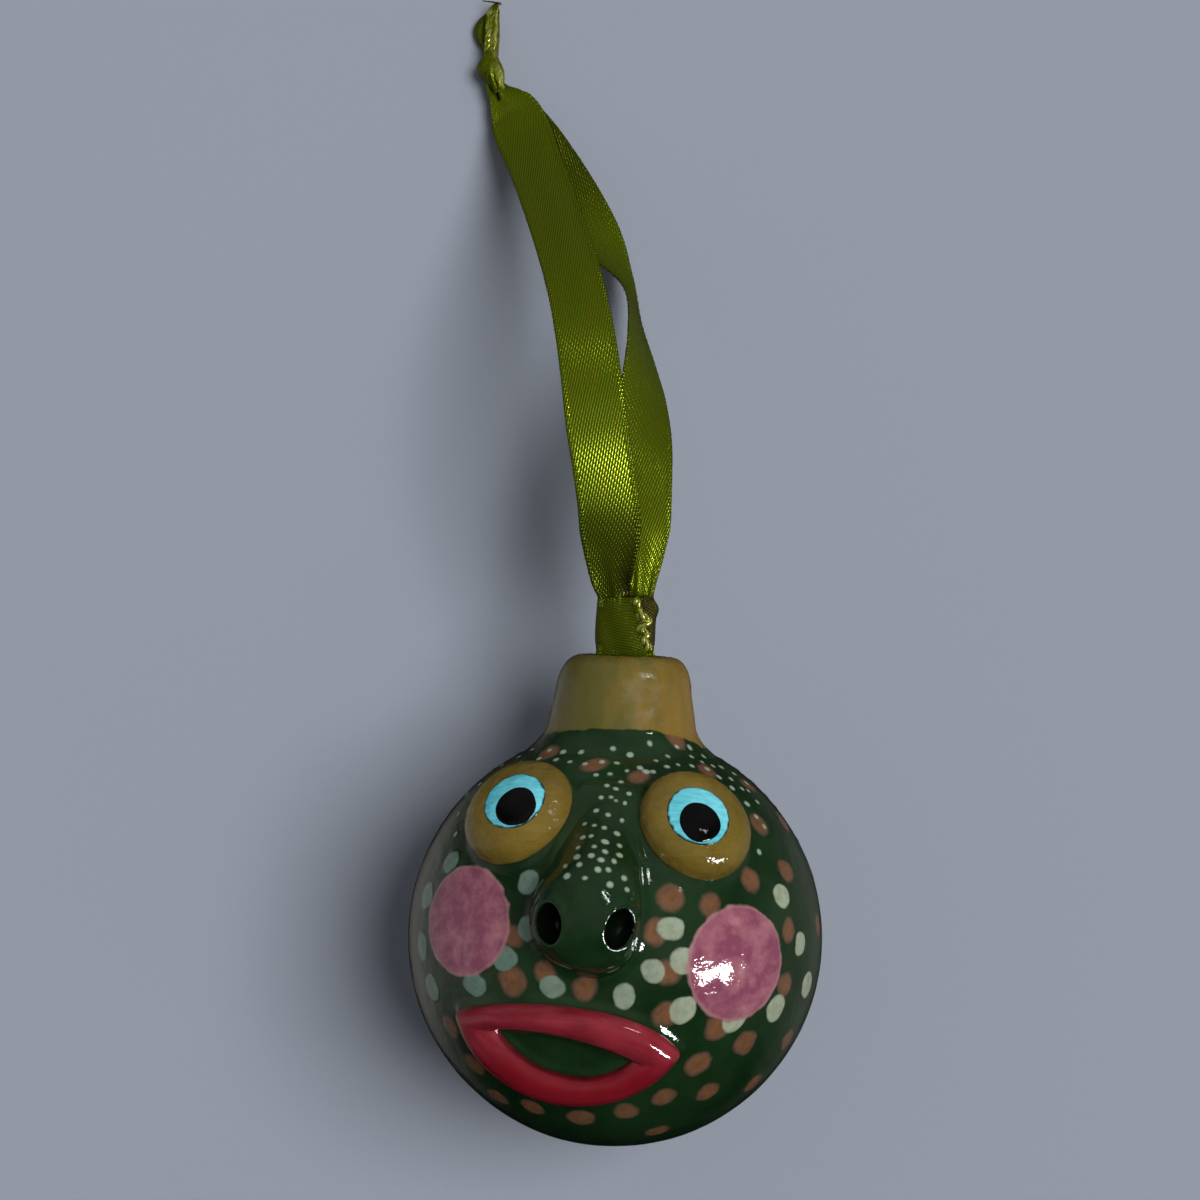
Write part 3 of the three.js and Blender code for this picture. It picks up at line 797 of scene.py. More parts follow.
def iris_glaze():
    blue = settings("colours").turquoise
    material, w, shader, base, normal, place = plain_glaze(
        "turquoise_glaze", blue, (0.06, 0.42, 0.5), streak_range=(0.3, 0.62), seed=23.0)
    rim = uneven(w, place, "rim", scale=0.8, detail=2, strength=0.13)
    base = w.mix(w.ramp(rim, 0.93, 0.985), base, (0.004, 0.02, 0.02))
    finish_surface(w, shader, base, normal, GLAZE_ROUGHNESS)
    return material


def pupil_glaze():
    black = settings("colours").black
    material, w, shader, base, normal, place = plain_glaze(
        "black_glaze", black, (0.001, 0.001, 0.001), streak_range=(0.3, 0.7), seed=31.0)
    finish_surface(w, shader, base, normal, GLAZE_ROUGHNESS, Specular_IOR_Level=0.22)
    return material


def lip_glaze():
    """Red glaze in long brush streaks, with painted shade towards the bottom and a painted shadow along the
    opening, and pale clay at its foot.
    """
    red, green, blue = settings("colours").red
    material, w, shader = new_material("red_glaze")
    place = w.millimetres()
    streak = w.noise(w.vector("MULTIPLY", w.uv("lip"), (0.12, 0.8, 1.0)), 1.0, 3, 0.5)
    tone = w.math("MULTIPLY_ADD", streak, 0.5, w.times(w.noise(place, 0.22, 3, 0.5), 0.5))
    dark, light = (red * 0.6, green * 0.6, blue * 0.6), (red, green * 1.3, blue * 1.2)
    base = w.mix(w.ramp(tone, 0.35, 0.65), dark, light)
    # Painted shade: darker towards the bottom
    low = w.ramp(w.split(place)[1], -17.5, -14.5, 0.75, 0)
    base = w.mix(low, base, (red * 0.62, green * 0.2, blue * 0.3))
    base = w.mix(mark(w, place, "edge", 0.5, 0.25, share=0.8), base, (0.2, 0.17, 0.13))
    # Painted shadow along the inner edge, at the opening
    base = w.mix(mark(w, place, "inner", 0.4, 0.5, share=0.85), base, (0.02, 0.004, 0.004))
    normal = w.bump(glaze_depth(w, place, seed=41.0)["Ripple"], 0.00002)
    finish_surface(w, shader, base, normal, 0.06)
    return material


def satin(name="olive_satin", metallic=0.68, dull=0.0):
    """Warp-faced satin: slanting rows of small bright floats with painted shade between them and painted
    glints on some, with a tinted gloss and beaded edges.
    """
    colours = settings("colours")
    sizes = settings("sizes")
    red, green, blue = ribbon = colours.ribbon
    material, w, shader = new_material(name)
    weave = w.uv("weave")
    floats = w.group("Satin floats", satin_group, {
        "Weave": weave, "Pitch": sizes.weave_pitch, "Float": sizes.weave_float, "Slant": sizes.weave_slant})
    hue = w.math("MULTIPLY_ADD", floats["Tone"], 0.5, w.times(floats["Row"], 0.5))
    yellower, greener = (red * 1.1, green * 0.99, blue), (red * 0.93, green * 1.03, blue * 1.5)
    base = w.mix(w.ramp(hue, 0.25, 0.75), yellower, greener)
    # Painted shade in the gaps between the floats
    base = w.mix(w.ramp(floats["Height"], 0.1, 0.6, 0.42, 0), base, [c * 0.3 for c in ribbon])
    # Painted glints: single floats turn to the glint colour by the share that a piece stores
    glint = w.times(w.ramp(floats["Tone"], 0.35, 0.6), w.ramp(floats["Height"], 0.3, 0.6))
    base = w.mix(w.times(glint, w.attribute("glint")), base, colours.glint)
    # Painted shade and a painted brown reflection on the right of the hitch's band and of the front strand's
    # start; the frayed thread is brown all over
    base = w.mix(w.times(w.attribute("brown"), 0.8), base, (0.05, 0.034, 0.005))
    # Painted shade: the cloth darkens toward near black by the share that a piece stores
    base = w.mix(w.attribute("tuck_and_shade"), base, (0.002, 0.002, 0.001))
    across, along = w.split(weave)[:2]
    inset = w.math("SUBTRACT", sizes.ribbon_width / MM / 2, w.math("ABSOLUTE", across))
    base = w.mix(w.ramp(inset, 0.0, 0.22, 0.75, 0), base, [c * 0.25 for c in ribbon])
    beads = w.math("SINE", w.times(along, 2 * math.pi / BEAD_PITCH))
    selvedge = w.times(w.ramp(inset, 0.75, 0.95, 1, 0), w.ramp(beads, -1, 1))
    normal = w.bump(w.math("MULTIPLY_ADD", selvedge, 0.8, floats["Height"]), 0.00009)
    roughness = w.ramp(floats["Height"], 0.2, 0.75, 0.5 + dull, 0.2 + dull)
    finish_surface(w, shader, base, normal, roughness, Metallic=metallic, Specular_IOR_Level=0.15)
    return material


def oxidised_wire():
    colour = settings("colours").wire
    material, w, shader = new_material("oxidised_wire")
    place = w.millimetres()
    scale = w.noise(place, 3.0, 5, 0.65)
    base = w.mix(w.ramp(scale, 0.35, 0.65), [c * 0.4 for c in colour], colour)
    drawn = w.noise(w.vector("MULTIPLY", place, (0.4, 9.0, 9.0)), 1.0, 2)
    finish_surface(w, shader, base, w.bump(drawn, 0.00002), w.ramp(scale, 0.3, 0.7, 0.35, 0.7), Metallic=0.9)
    return material


def paper():
    colour = settings("colours").floor
    material, w, shader = new_material("grey_blue_paper")
    grain = w.noise(w.millimetres(), 0.8, 4, 0.6)
    base = w.mix(w.ramp(grain, 0.3, 0.7), [c * 0.985 for c in colour], colour)
    finish_surface(w, shader, base, w.bump(grain, 0.00002), 0.75, Specular_IOR_Level=0.2)
    return material


# Painted marks: distances in millimetres to the edge of the nearest mark, negative inside it

def oval(draw, direction, size, flattest):
    """A row of a table of marks: its direction, its two half sizes and its turn, the last two drawn."""
    return direction, size, size * draw.uniform(*flattest), draw.uniform(0, math.pi)


def dot_table(pixels, radius, seed):
    """The dots that the camera sees."""
    draw = random.Random(seed)
    rows = []
    for pixel in pixels:
        size = radius * draw.uniform(0.88, 1.14)
        rows.append(oval(draw, seen_on_rise(pixel, FLARE_RISE), size, (0.8, 1.0)))
    return rows


def hidden_side_dots(radius, seed, first, count=74):
    """Dots that go on over the back of the ball, at even steps of a spiral."""
    draw = random.Random(seed)
    rows = []
    for i in range(first, count, 2):
        height = 0.72 - 1.6 * (i + 0.5) / count
        turn = i * math.pi * (3 - math.sqrt(5))
        ring = math.sqrt(1 - height**2)
        direction = Vector((ring * math.sin(turn), height, ring * math.cos(turn)))
        if direction.z < -0.1:
            rows.append(oval(draw, direction, radius * draw.uniform(0.85, 1.15), (0.82, 1)))
    return rows


def speck_table():
    """Small white dots: those that the camera sees, then rows round the rest of the neck."""
    draw = random.Random(5)
    radius = settings("sizes").ball_radius / MM
    rows = []

    def add(direction, smallest, largest):
        rows.append(oval(draw, direction, draw.uniform(smallest, largest), (0.75, 1.1)))

    nose_rise = sorted((row[0], row[3]) for row in NOSE)
    for pixel in BROW_SPECKS:
        add(seen_on_rise(pixel, FLARE_RISE), 0.4, 0.54)
    for pixel in NOSE_SPECKS:
        add(seen_on_rise(pixel, nose_rise), 0.34, 0.46)
    for k in range(8):
        up = 65.5 - 5 * k
        count = int(2 * math.pi * radius * math.cos(math.radians(up)) / SPECK_PITCH)
        for i in range(count):
            across = -180 + 360 * (i + (k % 2) / 2 + draw.uniform(-0.22, 0.22)) / count
            direction = ball_axes(across, up + draw.uniform(-0.8, 0.8))[2]
            if direction.z < 0.02 and draw.random() < 0.85:
                add(direction, 0.42, 0.6)
    return rows


def mark_distance(directions, rows, radius):
    """Distance to the nearest of the round marks in rows, for each direction from the ball's middle."""
    nearest = np.full(len(directions), FAR)
    for direction, wide, tall, turn in rows:
        close = np.nonzero(directions @ np.array(direction) > MARK_REACH)[0]
        across = direction.cross(Vector((0, 1, 0))).normalized()
        along = across.cross(direction)
        first = across * math.cos(turn) + along * math.sin(turn)
        second = along * math.cos(turn) - across * math.sin(turn)
        u = directions[close] @ np.array(first) * radius
        v = directions[close] @ np.array(second) * radius
        distance = (np.hypot(u / wide, v / tall) - 1) * (wide + tall) / 2
        nearest[close] = np.minimum(nearest[close], distance)
    return nearest


def mark_tables():
    return {
        "pale": dot_table(PALE_DOTS, radius=2.1, seed=1) + hidden_side_dots(radius=2.2, seed=8, first=0),
        "tan": dot_table(TAN_DOTS, radius=2.0, seed=2) + hidden_side_dots(radius=2.2, seed=9, first=1),
        "cheek": [(ball_axes(across, up)[2], wide, tall, math.pi) for across, up, wide, tall in CHEEKS],
        "speck": speck_table(),
    }


def paint(obj, tables):
    """Stores the distance to every kind of mark on a piece's points."""
    radius = settings("sizes").ball_radius / MM
    points = (read_points(obj) - np.array(BALL_CENTRE)) / MM
    directions = points / np.linalg.norm(points, axis=1)[:, None]
    for name, rows in tables.items():
        write_attribute(obj, name, mark_distance(directions, rows, radius))
    round_neck = np.degrees(np.arctan2(points[:, 0], points[:, 2]))
    write_attribute(obj, "ochre", np.interp(round_neck, *zip(*OCHRE_EDGE)) - points[:, 1])
    write_attribute(obj, "pit", np.full(len(points), FAR))


def slip_relief(directions, tables, radius):
    """How far the painted slip stands proud, in millimetres."""
    relief = np.zeros(len(directions))
    for name, (height, shoulder) in SLIP.items():
        distance = mark_distance(directions, tables[name], radius)
        relief = np.maximum(relief, height * np.clip(0.5 - distance / shoulder, 0, 1))
    return relief


# Clay pieces

def half_sphere_grid(name, cuts, front):
    """Half of a cube's grid blown up to a unit sphere, open at the joint."""
    deselect_all()
    bpy.ops.mesh.primitive_cube_add(size=2)
    obj = take_new(name)
    with editing(obj):
        bpy.ops.mesh.subdivide(number_cuts=cuts // 2 - 1)
        bpy.ops.mesh.select_all(action="SELECT")
        bpy.ops.mesh.subdivide(number_cuts=1)
        bpy.ops.mesh.select_all(action="DESELECT")
    behind = read_points(obj)[:, 2] * (-1 if front else 1)
    obj.data.vertices.foreach_set("select", behind > 0.5 / cuts)
    bpy.ops.object.mode_set(mode="EDIT")
    bpy.ops.mesh.select_mode(type="VERT")
    bpy.ops.mesh.delete(type="VERT")
    bpy.ops.object.mode_set(mode="OBJECT")
    points = np.tan(read_points(obj) * (math.pi / 4))
    write_points(obj, points / np.linalg.norm(points, axis=1)[:, None])
    return obj


def bowl(name, cuts, front, inside):
    """A clay bowl of radius 1 with a hollow of radius inside: two half spheres, joined round the rim."""
    outer = half_sphere_grid(name, cuts, front)
    inner = half_sphere_grid("hollow", settings("sizes").inner_grid, front)
    write_points(inner, read_points(inner) * inside)
    with editing(inner):
        bpy.ops.mesh.flip_normals()
    activate(outer)
    inner.select_set(True)
    bpy.ops.object.join()
    with editing(outer):
        bpy.ops.mesh.select_mode(type="EDGE")
        bpy.ops.mesh.select_all(action="DESELECT")
        bpy.ops.mesh.select_non_manifold(extend=False, use_wire=False, use_multi_face=False,
                                         use_non_contiguous=False, use_verts=False)
        bpy.ops.mesh.bridge_edge_loops()
    return outer


def bore_cutter(radius, start, end):
    """A rod along the neck's line, from start to end above the ball's middle."""
    deselect_all()
    bpy.ops.mesh.primitive_cylinder_add(vertices=64, radius=radius, depth=end - start)
    obj = take_new("bore_cutter")
    place = Matrix.Translation(BALL_CENTRE + Vector((0, (start + end) / 2, 0)))
    put_at(obj, place @ Matrix.Rotation(math.pi / 2, 4, "X"))
    return obj


def pool_height(points, trees, pool):
    """Height of the glaze that has run against the foot of the raised pieces."""
    reach, width = 3 * MM, 0.9 * MM
    heights = np.zeros(len(points))
    for tree in trees:
        for i, point in enumerate(points):
            distance = tree.find_nearest(Vector(point), reach)[3]
            if distance is not None:
                heights[i] = max(heights[i], pool * math.exp(-((distance / width) ** 2)))
    return heights


def surface_tree(obj):
    mesh = obj.data
    return BVHTree.FromPolygons([v.co.copy() for v in mesh.vertices], [p.vertices[:] for p in mesh.polygons])


def make_ball_half(name, front, grid, tables, material, pooled_at):
    """Half of the hollow ball: uneven skin, painted slip a little proud, glaze pooled round what is on it."""
    sizes = settings("sizes")
    radius = sizes.ball_radius
    obj = bowl(name, grid, front, (radius - sizes.ball_wall) / radius)
    points = read_points(obj)
    lengths = np.linalg.norm(points, axis=1)
    directions = points / lengths[:, None]
    outside = lengths > 1 - sizes.ball_wall / radius / 2
    skin = directions[outside]
    rise = np.zeros(len(points))
    rise[outside] = sizes.lump * wander(skin, size=0.33, seed=1)
    rise[outside] += 0.4 * sizes.lump * wander(skin, size=0.1, seed=2)
    rise[outside] += slip_relief(skin, tables, radius / MM) * MM
    placed = directions * (lengths * radius + rise)[:, None] + np.array(BALL_CENTRE)
    placed[outside] += skin * pool_height(placed[outside], pooled_at, sizes.pool)[:, None]
    placed[:, 2] = np.maximum(placed[:, 2], 0)
    write_points(obj, placed)
    cut_away(obj, bore_cutter(sizes.bore_radius, start=0.01, end=radius + 0.01))
    paint(obj, tables)
    finish_piece(obj, material, "green_glaze", "ball_front_half" if front else "ball_back_half")


def collar_outline(sizes):
    """Half section of the collar: distance from the neck's line, and height above the ball's middle."""
    bore, top = sizes.bore_radius, COLLAR_TOP
    rim, shoulder_radius, shoulder_drop = 1 * MM, 11.3 * MM, 6 * MM
    waist_radius, waist_height = 12.1 * MM, 34.6 * MM
    foot_radius = 16.2 * MM
    foot_height = math.sqrt(sizes.ball_radius**2 - foot_radius**2)
    pull_radius = waist_radius + 0.14 * (foot_radius - waist_radius)
    pull_height = foot_height + 0.5 * (waist_height - foot_height)
    outline = [(bore, height * MM) for height in BORE_HEIGHTS]
    for i in range(7):
        turn = math.pi / 2 * i / 6
        outline.append((bore + rim * (1 - math.cos(turn)), top - rim * (1 - math.sin(turn))))
    width = shoulder_radius - bore - rim
    for i in range(1, 13):
        turn = math.pi / 2 * i / 12
        outline.append((bore + rim + width * math.sin(turn), top - shoulder_drop * (1 - math.cos(turn))))
    outline += [(radius * MM, height * MM) for radius, height in COLLAR_SIDE]
    for i in range(9):
        t = i / 8
        radius = (1 - t) ** 2 * waist_radius + 2 * t * (1 - t) * pull_radius + t**2 * foot_radius
        height = (1 - t) ** 2 * waist_height + 2 * t * (1 - t) * pull_height + t**2 * (foot_height - 0.1 * MM)
        outline.append((radius, height))
    outline.append((foot_radius - 0.6 * MM, foot_height - 1.6 * MM))
    return outline


def make_collar(tables, material):
    """The neck: its half section spun round the neck's line, then made a little uneven outside."""
    sizes = settings("sizes")
    outline = collar_outline(sizes)
    deselect_all()
    bpy.ops.mesh.primitive_circle_add(vertices=len(outline), radius=1)
    obj = take_new("glazed_collar")
    for vertex, (radius, height) in zip(obj.data.vertices, outline):
        vertex.co = (radius, height, BALL_CENTRE.z)
    with editing(obj):
        bpy.ops.mesh.spin(steps=96, angle=2 * math.pi, center=BALL_CENTRE, axis=(0, 1, 0))
        bpy.ops.mesh.select_all(action="SELECT")
        bpy.ops.mesh.remove_doubles(threshold=0.00001)
        bpy.ops.mesh.normals_make_consistent(inside=False)
    apply_modifier(obj, "SUBSURF", levels=1, render_levels=1)
    points = read_points(obj)
    away = points - np.array(BALL_CENTRE)
    away[:, 1] = 0
    distance = np.linalg.norm(away, axis=1)
    away /= distance[:, None]
    outside = np.clip((distance - sizes.bore_radius) / (2 * MM), 0, 1)
    lump = wander(points, size=0.009, seed=4) * 0.3 * MM
    lump += wander(points, size=0.0035, seed=5) * 0.07 * MM
    points += away * (lump * outside)[:, None]
    points[:, 1] += wander(points, size=0.006, seed=6) * 0.22 * MM * outside
    write_points(obj, points)
    paint(obj, tables)
    finish_piece(obj, material, "ochre_glaze", "neck_collar", smooth=60)


def mound_place(side):
    """Where a mound stands on the ball, with its own Z pointing outward."""
    sizes = settings("sizes")
    return ball_matrix(EYES[side]["across"], EYES[side]["up"], 0, sizes.ball_radius - sizes.mound_sink)


def mound_level(x, y):
    """Height of a mound's skin above its own origin."""
    sizes = settings("sizes")
    power = sizes.mound_fullness
    away = np.minimum(np.hypot(x / sizes.mound_radii[0], y / sizes.mound_radii[1]), 1)
    return sizes.mound_edge + (sizes.mound_radii[2] - sizes.mound_edge) * (1 - away**power) ** (1 / power)


def make_mound(side, seed, material):
    """A pressed ball of clay: a full dome whose foot tucks in against the face."""
    sizes = settings("sizes")
    obj = unit_sphere(f"clay_mound_{side}", segments=128, rings=96)
    points = read_points(obj)
    height = points[:, 2].copy()
    swell = 1 + 0.014 * wander(points, size=0.8, seed=seed)
    swell += 0.006 * wander(points, size=0.24, seed=seed + 2) * (1 - np.abs(height))
    around = np.maximum(np.hypot(points[:, 0], points[:, 1]), 1e-6)
    power = sizes.mound_fullness
    dome = np.where(height > 0, np.maximum(1 - np.abs(height) ** power, 0) ** (1 / power), around)
    points[:, :2] *= (swell * dome / around)[:, None]
    points[:, :2] *= np.array(sizes.mound_radii)[:2]
    rise = np.where(height > 0, sizes.mound_radii[2] - sizes.mound_edge, sizes.mound_tuck)
    points[:, 2] = sizes.mound_edge + height * rise
    out = np.hypot(points[:, 0], points[:, 1])
    skin = np.sqrt(sizes.ball_radius**2 - out**2) - (sizes.ball_radius - sizes.mound_sink)
    write_points(obj, points)
    write_attribute(obj, "foot", (points[:, 2] - skin) / MM)
    put_at(obj, mound_place(side))
    return finish_piece(obj, material, "ochre_glaze", f"eye_mound_{side}")


def make_button(kind, side, radius, sunk, proud, seed, material, slot):
    """A flattened button that follows the mound, with an outline that is a little uneven."""
    obj = unit_sphere(f"{kind}_button_{side}", segments=96, rings=40)
    points = read_points(obj)
    swell = 1 + 0.035 * wander(points * np.array([1, 1, 0]), size=0.7, seed=seed)
    x, y = (points[:, :2] * (radius * swell)[:, None] + np.array(EYES[side][kind]) * MM).T
    step = 0.05 * MM
    slope_x = (mound_level(x + step, y) - mound_level(x - step, y)) / (2 * step)
    slope_y = (mound_level(x, y + step) - mound_level(x, y - step)) / (2 * step)
    outward = np.stack([-slope_x, -slope_y, np.ones(len(x))], axis=1)
    outward /= np.linalg.norm(outward, axis=1)[:, None]
    lift = np.sign(points[:, 2]) * np.abs(points[:, 2]) ** 0.6
    height = np.where(lift > 0, lift * proud, lift * sunk)
    write_points(obj, np.stack([x, y, mound_level(x, y)], axis=1) + outward * height[:, None])
    write_attribute(obj, "rim", np.hypot(points[:, 0], points[:, 1]))
    put_at(obj, mound_place(side))
    finish_piece(obj, material, slot, f"{kind}_{side}", smooth=80)


def nostril_place(nostril):
    return ball_matrix(*nostril, settings("sizes").ball_radius + NOSTRIL_LIFT * MM)


def nostril_pit(nostril):
    obj = unit_sphere("nostril_pit", segments=40, rings=24)
    write_points(obj, read_points(obj) * np.array(NOSTRIL_RADII) * MM)
    put_at(obj, nostril_place(nostril))
    return obj


def seen_from(nostril, points):
    """The points in millimetres from a nostril's middle, with Z pointing out of it."""
    place = nostril_place(nostril).inverted()
    return np.array([place @ Vector(p) for p in points]) / MM


def make_nose(tables, material):
    """The nose: a roll of clay that leaves the face softly at the brow, with two pressed nostrils."""
    radius = settings("sizes").ball_radius
    ring_size = 72
    points = []
    for up, across, half_width, rise, soft in smooth_curve(NOSE, 90):
        right, toward_neck, outward = ball_axes(across, up)
        for turn in np.linspace(0, 2 * math.pi, ring_size, endpoint=False):
            round_x, round_z = math.cos(turn), math.sin(turn)
            bell_z = (1 + math.cos(math.pi * round_x)) / 2 if round_z > 0 else round_z
            x = (1 - soft) * round_x + soft * 1.5 * round_x
            z = (1 - soft) * round_z + soft * bell_z
            lift = max(rise, 0.05) * z if round_z > 0 else 1.4 * round_z - 0.05
            flat = outward * radius + right * (half_width * x * MM)
            points.append(BALL_CENTRE + flat.normalized() * (radius + (lift - 0.04 - 0.25 * soft) * MM))
    obj = loft("clay_nose", points, ring_size)
    skin = read_points(obj)
    normals = np.array([v.normal for v in obj.data.vertices])
    for nostril in NOSTRILS:
        local = seen_from(nostril, skin)
        away = np.hypot(local[:, 0] / NOSTRIL_RADII[0], local[:, 1] / NOSTRIL_RADII[1])
        swell = 0.4 * np.exp(-(((away - 1.12) / 0.28) ** 2)) * (local[:, 2] > -3)
        skin += normals * (swell * MM)[:, None]
    write_points(obj, skin)
    for nostril in NOSTRILS:
        cut_away(obj, nostril_pit(nostril))
    apply_modifier(obj, "REMESH", mode="VOXEL", voxel_size=0.2 * MM, adaptivity=0)
    apply_modifier(obj, "SMOOTH", factor=0.5, iterations=7)
    brow = {"tan": [row for row in tables["tan"] if row[0].y > BROW_LEVEL], "speck": tables["speck"]}
    paint(obj, {name: brow.get(name, []) for name in tables})
    skin = read_points(obj)
    # Depth into the nostril pits, for their painted shade
    depth = np.full(len(skin), FAR)
    for nostril in NOSTRILS:
        local = seen_from(nostril, skin)
        inside = np.linalg.norm(local / NOSTRIL_RADII, axis=1) - 1
        sunk = np.clip((0.6 - local[:, 2]) / 1.5, 0, 1) * (inside < 0.12)
        depth = np.minimum(depth, inside * 2.2 + 0.25 - 0.7 * sunk)
    write_attribute(obj, "pit", depth)
    return finish_piece(obj, material, "green_glaze", "nose", smooth=180)


def bezier(corners, handles, t):
    start, end = np.array(corners)
    first, second = np.array(handles)
    return (1 - t) ** 3 * start + 3 * t * (1 - t) ** 2 * first + 3 * t**2 * (1 - t) * second + t**3 * end


def make_lips(material):
    """Both lips as one rope of clay with pointed corners."""
    sizes = settings("sizes")
    steps, sides = 48, 22
    run = [(UPPER_LIP, i / steps, False) for i in range(steps + 1)]
    run += [(LOWER_LIP, 1 - i / steps, True) for i in range(1, steps)]
    right, toward_neck, outward = ball_axes(*MOUTH_PLACE)
    points, edges, inner_shadow_edges, uv = [], [], [], []
    for i, (lip, t, low) in enumerate(run):
        outer = bezier(MOUTH_CORNERS, lip["outer"], t)
        inner = bezier(OPENING_CORNERS, lip["inner"], t)
        width = np.linalg.norm(inner - outer)
        for turn, cosine, sine in round_steps(sides):
            share = (1 - cosine) / 2
            lift = sizes.lip_rise / MM * sine**0.8 - 0.25 if sine > 0 else -0.9
            u, v = outer + (inner - outer) * share
            flat = outward * sizes.ball_radius + right * (u * MM) + toward_neck * (v * MM)
            points.append(BALL_CENTRE + flat.normalized() * (sizes.ball_radius + lift * MM))
            edges.append(width * share - 0.35 if low or t < 0.12 else 5)
            # Distance to the inner edge, for the painted shadow at the opening
            inner_shadow_edges.append(width * (1 - share) - (0.3 if low else 0.55))
            uv.append((i * 0.8, width * share))
    obj = loft("clay_lips", points, sides, uv, "lip", closed_run=True)
    write_attribute(obj, "edge", edges)
    write_attribute(obj, "inner", inner_shadow_edges)
    apply_modifier(obj, "SUBSURF", levels=2, render_levels=2)
    skin = read_points(obj)
    away = skin - np.array(BALL_CENTRE)
    distance = np.linalg.norm(away, axis=1)
    wobble = wander(skin, size=0.004, seed=9) * 0.12 * MM * (distance > sizes.ball_radius + 0.5 * MM)
    write_points(obj, skin + away / distance[:, None] * wobble[:, None])
    return finish_piece(obj, material, "red_glaze", "upper_lip", "lower_lip", smooth=70)


# Ribbon

def strand_frames(route, count):
    """Middle, across and face direction, spread and distance along, at even steps of a route."""
    fine = smooth_curve([(x, HITCH_TOP + beyond, share * BALL_CENTRE.z, spread, roll)
                         for x, beyond, share, spread, roll in route], count)
    middles = fine[:, :3]
    runs = np.gradient(middles, axis=0)
    runs /= np.linalg.norm(runs, axis=1)[:, None]
    along = np.concatenate([[0], np.cumsum(np.linalg.norm(np.diff(middles, axis=0), axis=1))])
    frames = []
    for middle, run, spread, roll, reach in zip(middles, runs, fine[:, 3], fine[:, 4], along):
        run = Vector(run)
        level = run.cross(Vector((0, 0, 1))).normalized()
        across = Matrix.Rotation(-math.radians(roll), 3, run) @ level
        frames.append((Vector(middle), across, across.cross(run), spread, reach))
    return frames


def ribbon_mesh(name, frames, fold_seed, folds=2.5, fold_height=0.9, brown_shading=0, finer=0):
    """A satin ribbon through the frames: where it is drawn in, it lies in lengthwise folds.

    The brown share paints shade and a brown reflection onto the right half of its start, and finer keeps the
    weave unsqueezed and that much finer."""
    sizes = settings("sizes")
    half_width, thickness = sizes.ribbon_width / 2, sizes.ribbon_thickness
    camber, bead_height, columns = 0.00018, 0.00008, 32
    points, uv, brown = [], [], []
    for middle, across, face, spread, reach in frames:
        gather = max(0, 1 - spread)
        along = reach / MM
        top, bottom = [], []
        for k in range(columns + 1):
            s = 2 * k / columns - 1
            wave = math.sin(math.pi * folds * s + fold_seed)
            lift = fold_height * MM * gather * wave + camber * math.cos(math.pi * s / 2)
            edge = 0.88 < abs(s) < 0.98
            bead = bead_height * edge * (0.5 + 0.5 * math.sin(along * 5.0))
            half = thickness / 2 * (1 if abs(s) < 1 else 0.5) + bead
            place = middle + across * (s * half_width * spread) + face * lift
            mark_uv = (s * half_width / MM * (finer * spread if finer else 1), along * (finer or 1))
            top.append((place + face * half, mark_uv))
            bottom.append((place - face * half, mark_uv))
        for place, mark_uv in top + bottom[::-1]:
            side = (place - middle).dot(across) / (half_width * spread)
            points.append(place)
            uv.append(mark_uv)
            # Painted shade and a painted brown reflection on the right half, fading out along the strand
            brown.append(max(0, min(1, 1.4 * side - 0.1)) * math.exp(-((along / 10) ** 4)) * brown_shading)
    obj = loft(name, points, 2 * (columns + 1), uv)
    write_attribute(obj, "brown", brown)
    return obj


def finish_cloth(obj, material, node, smooth=60):
    return finish_piece(obj, material, "satin_ribbon", node, smooth=smooth)


def make_strand(name, route, seed, material):
    """One strand: its path runs from hitch to knot, and its cloth goes on a little way into both."""
    path = [row[0] for row in strand_frames(route, PATH_POINTS)]
    x, beyond, share, spread, roll = route[0]
    longer = [(x, STRAND_START, share, spread, roll), *route, STRAND_END]
    front = name == "front_strand"
    obj = ribbon_mesh(f"satin_{name}", strand_frames(longer, STRAND_ROWS), seed, folds=2, fold_height=0.55,
                      brown_shading=int(front))
    points = read_points(obj)[:, :2]
    # Painted shade: near black in the slot where the front strand goes under the knot, darker near the hitch
    # on the front strand, darker over the rear strand's last stretch towards the knot
    if front:
        start, end = (np.array(place) + (0, HITCH_TOP) for place in TUCK_SHADOW)
        away = points - start
        share = np.clip(away @ (end - start) / np.dot(end - start, end - start), 0, 1)
        away -= share[:, None] * (end - start)
        slot = np.clip(1.4 - np.linalg.norm(away, axis=1) / TUCK_SHADOW_WIDTH, 0, 1)
        shade = np.maximum(slot, np.interp(points[:, 1] - HITCH_TOP, *zip(*FRONT_SHADE)))
    else:
        shade = np.interp(points[:, 1], *zip(*REAR_SHADE))
    write_attribute(obj, "tuck_and_shade", shade)
    return finish_cloth(obj, material, f"ribbon_{name}"), path


def bell(value, middle, width):
    """1 at the middle, and next to nothing two widths away."""
    return math.exp(-(((value - middle) / width) ** 2))


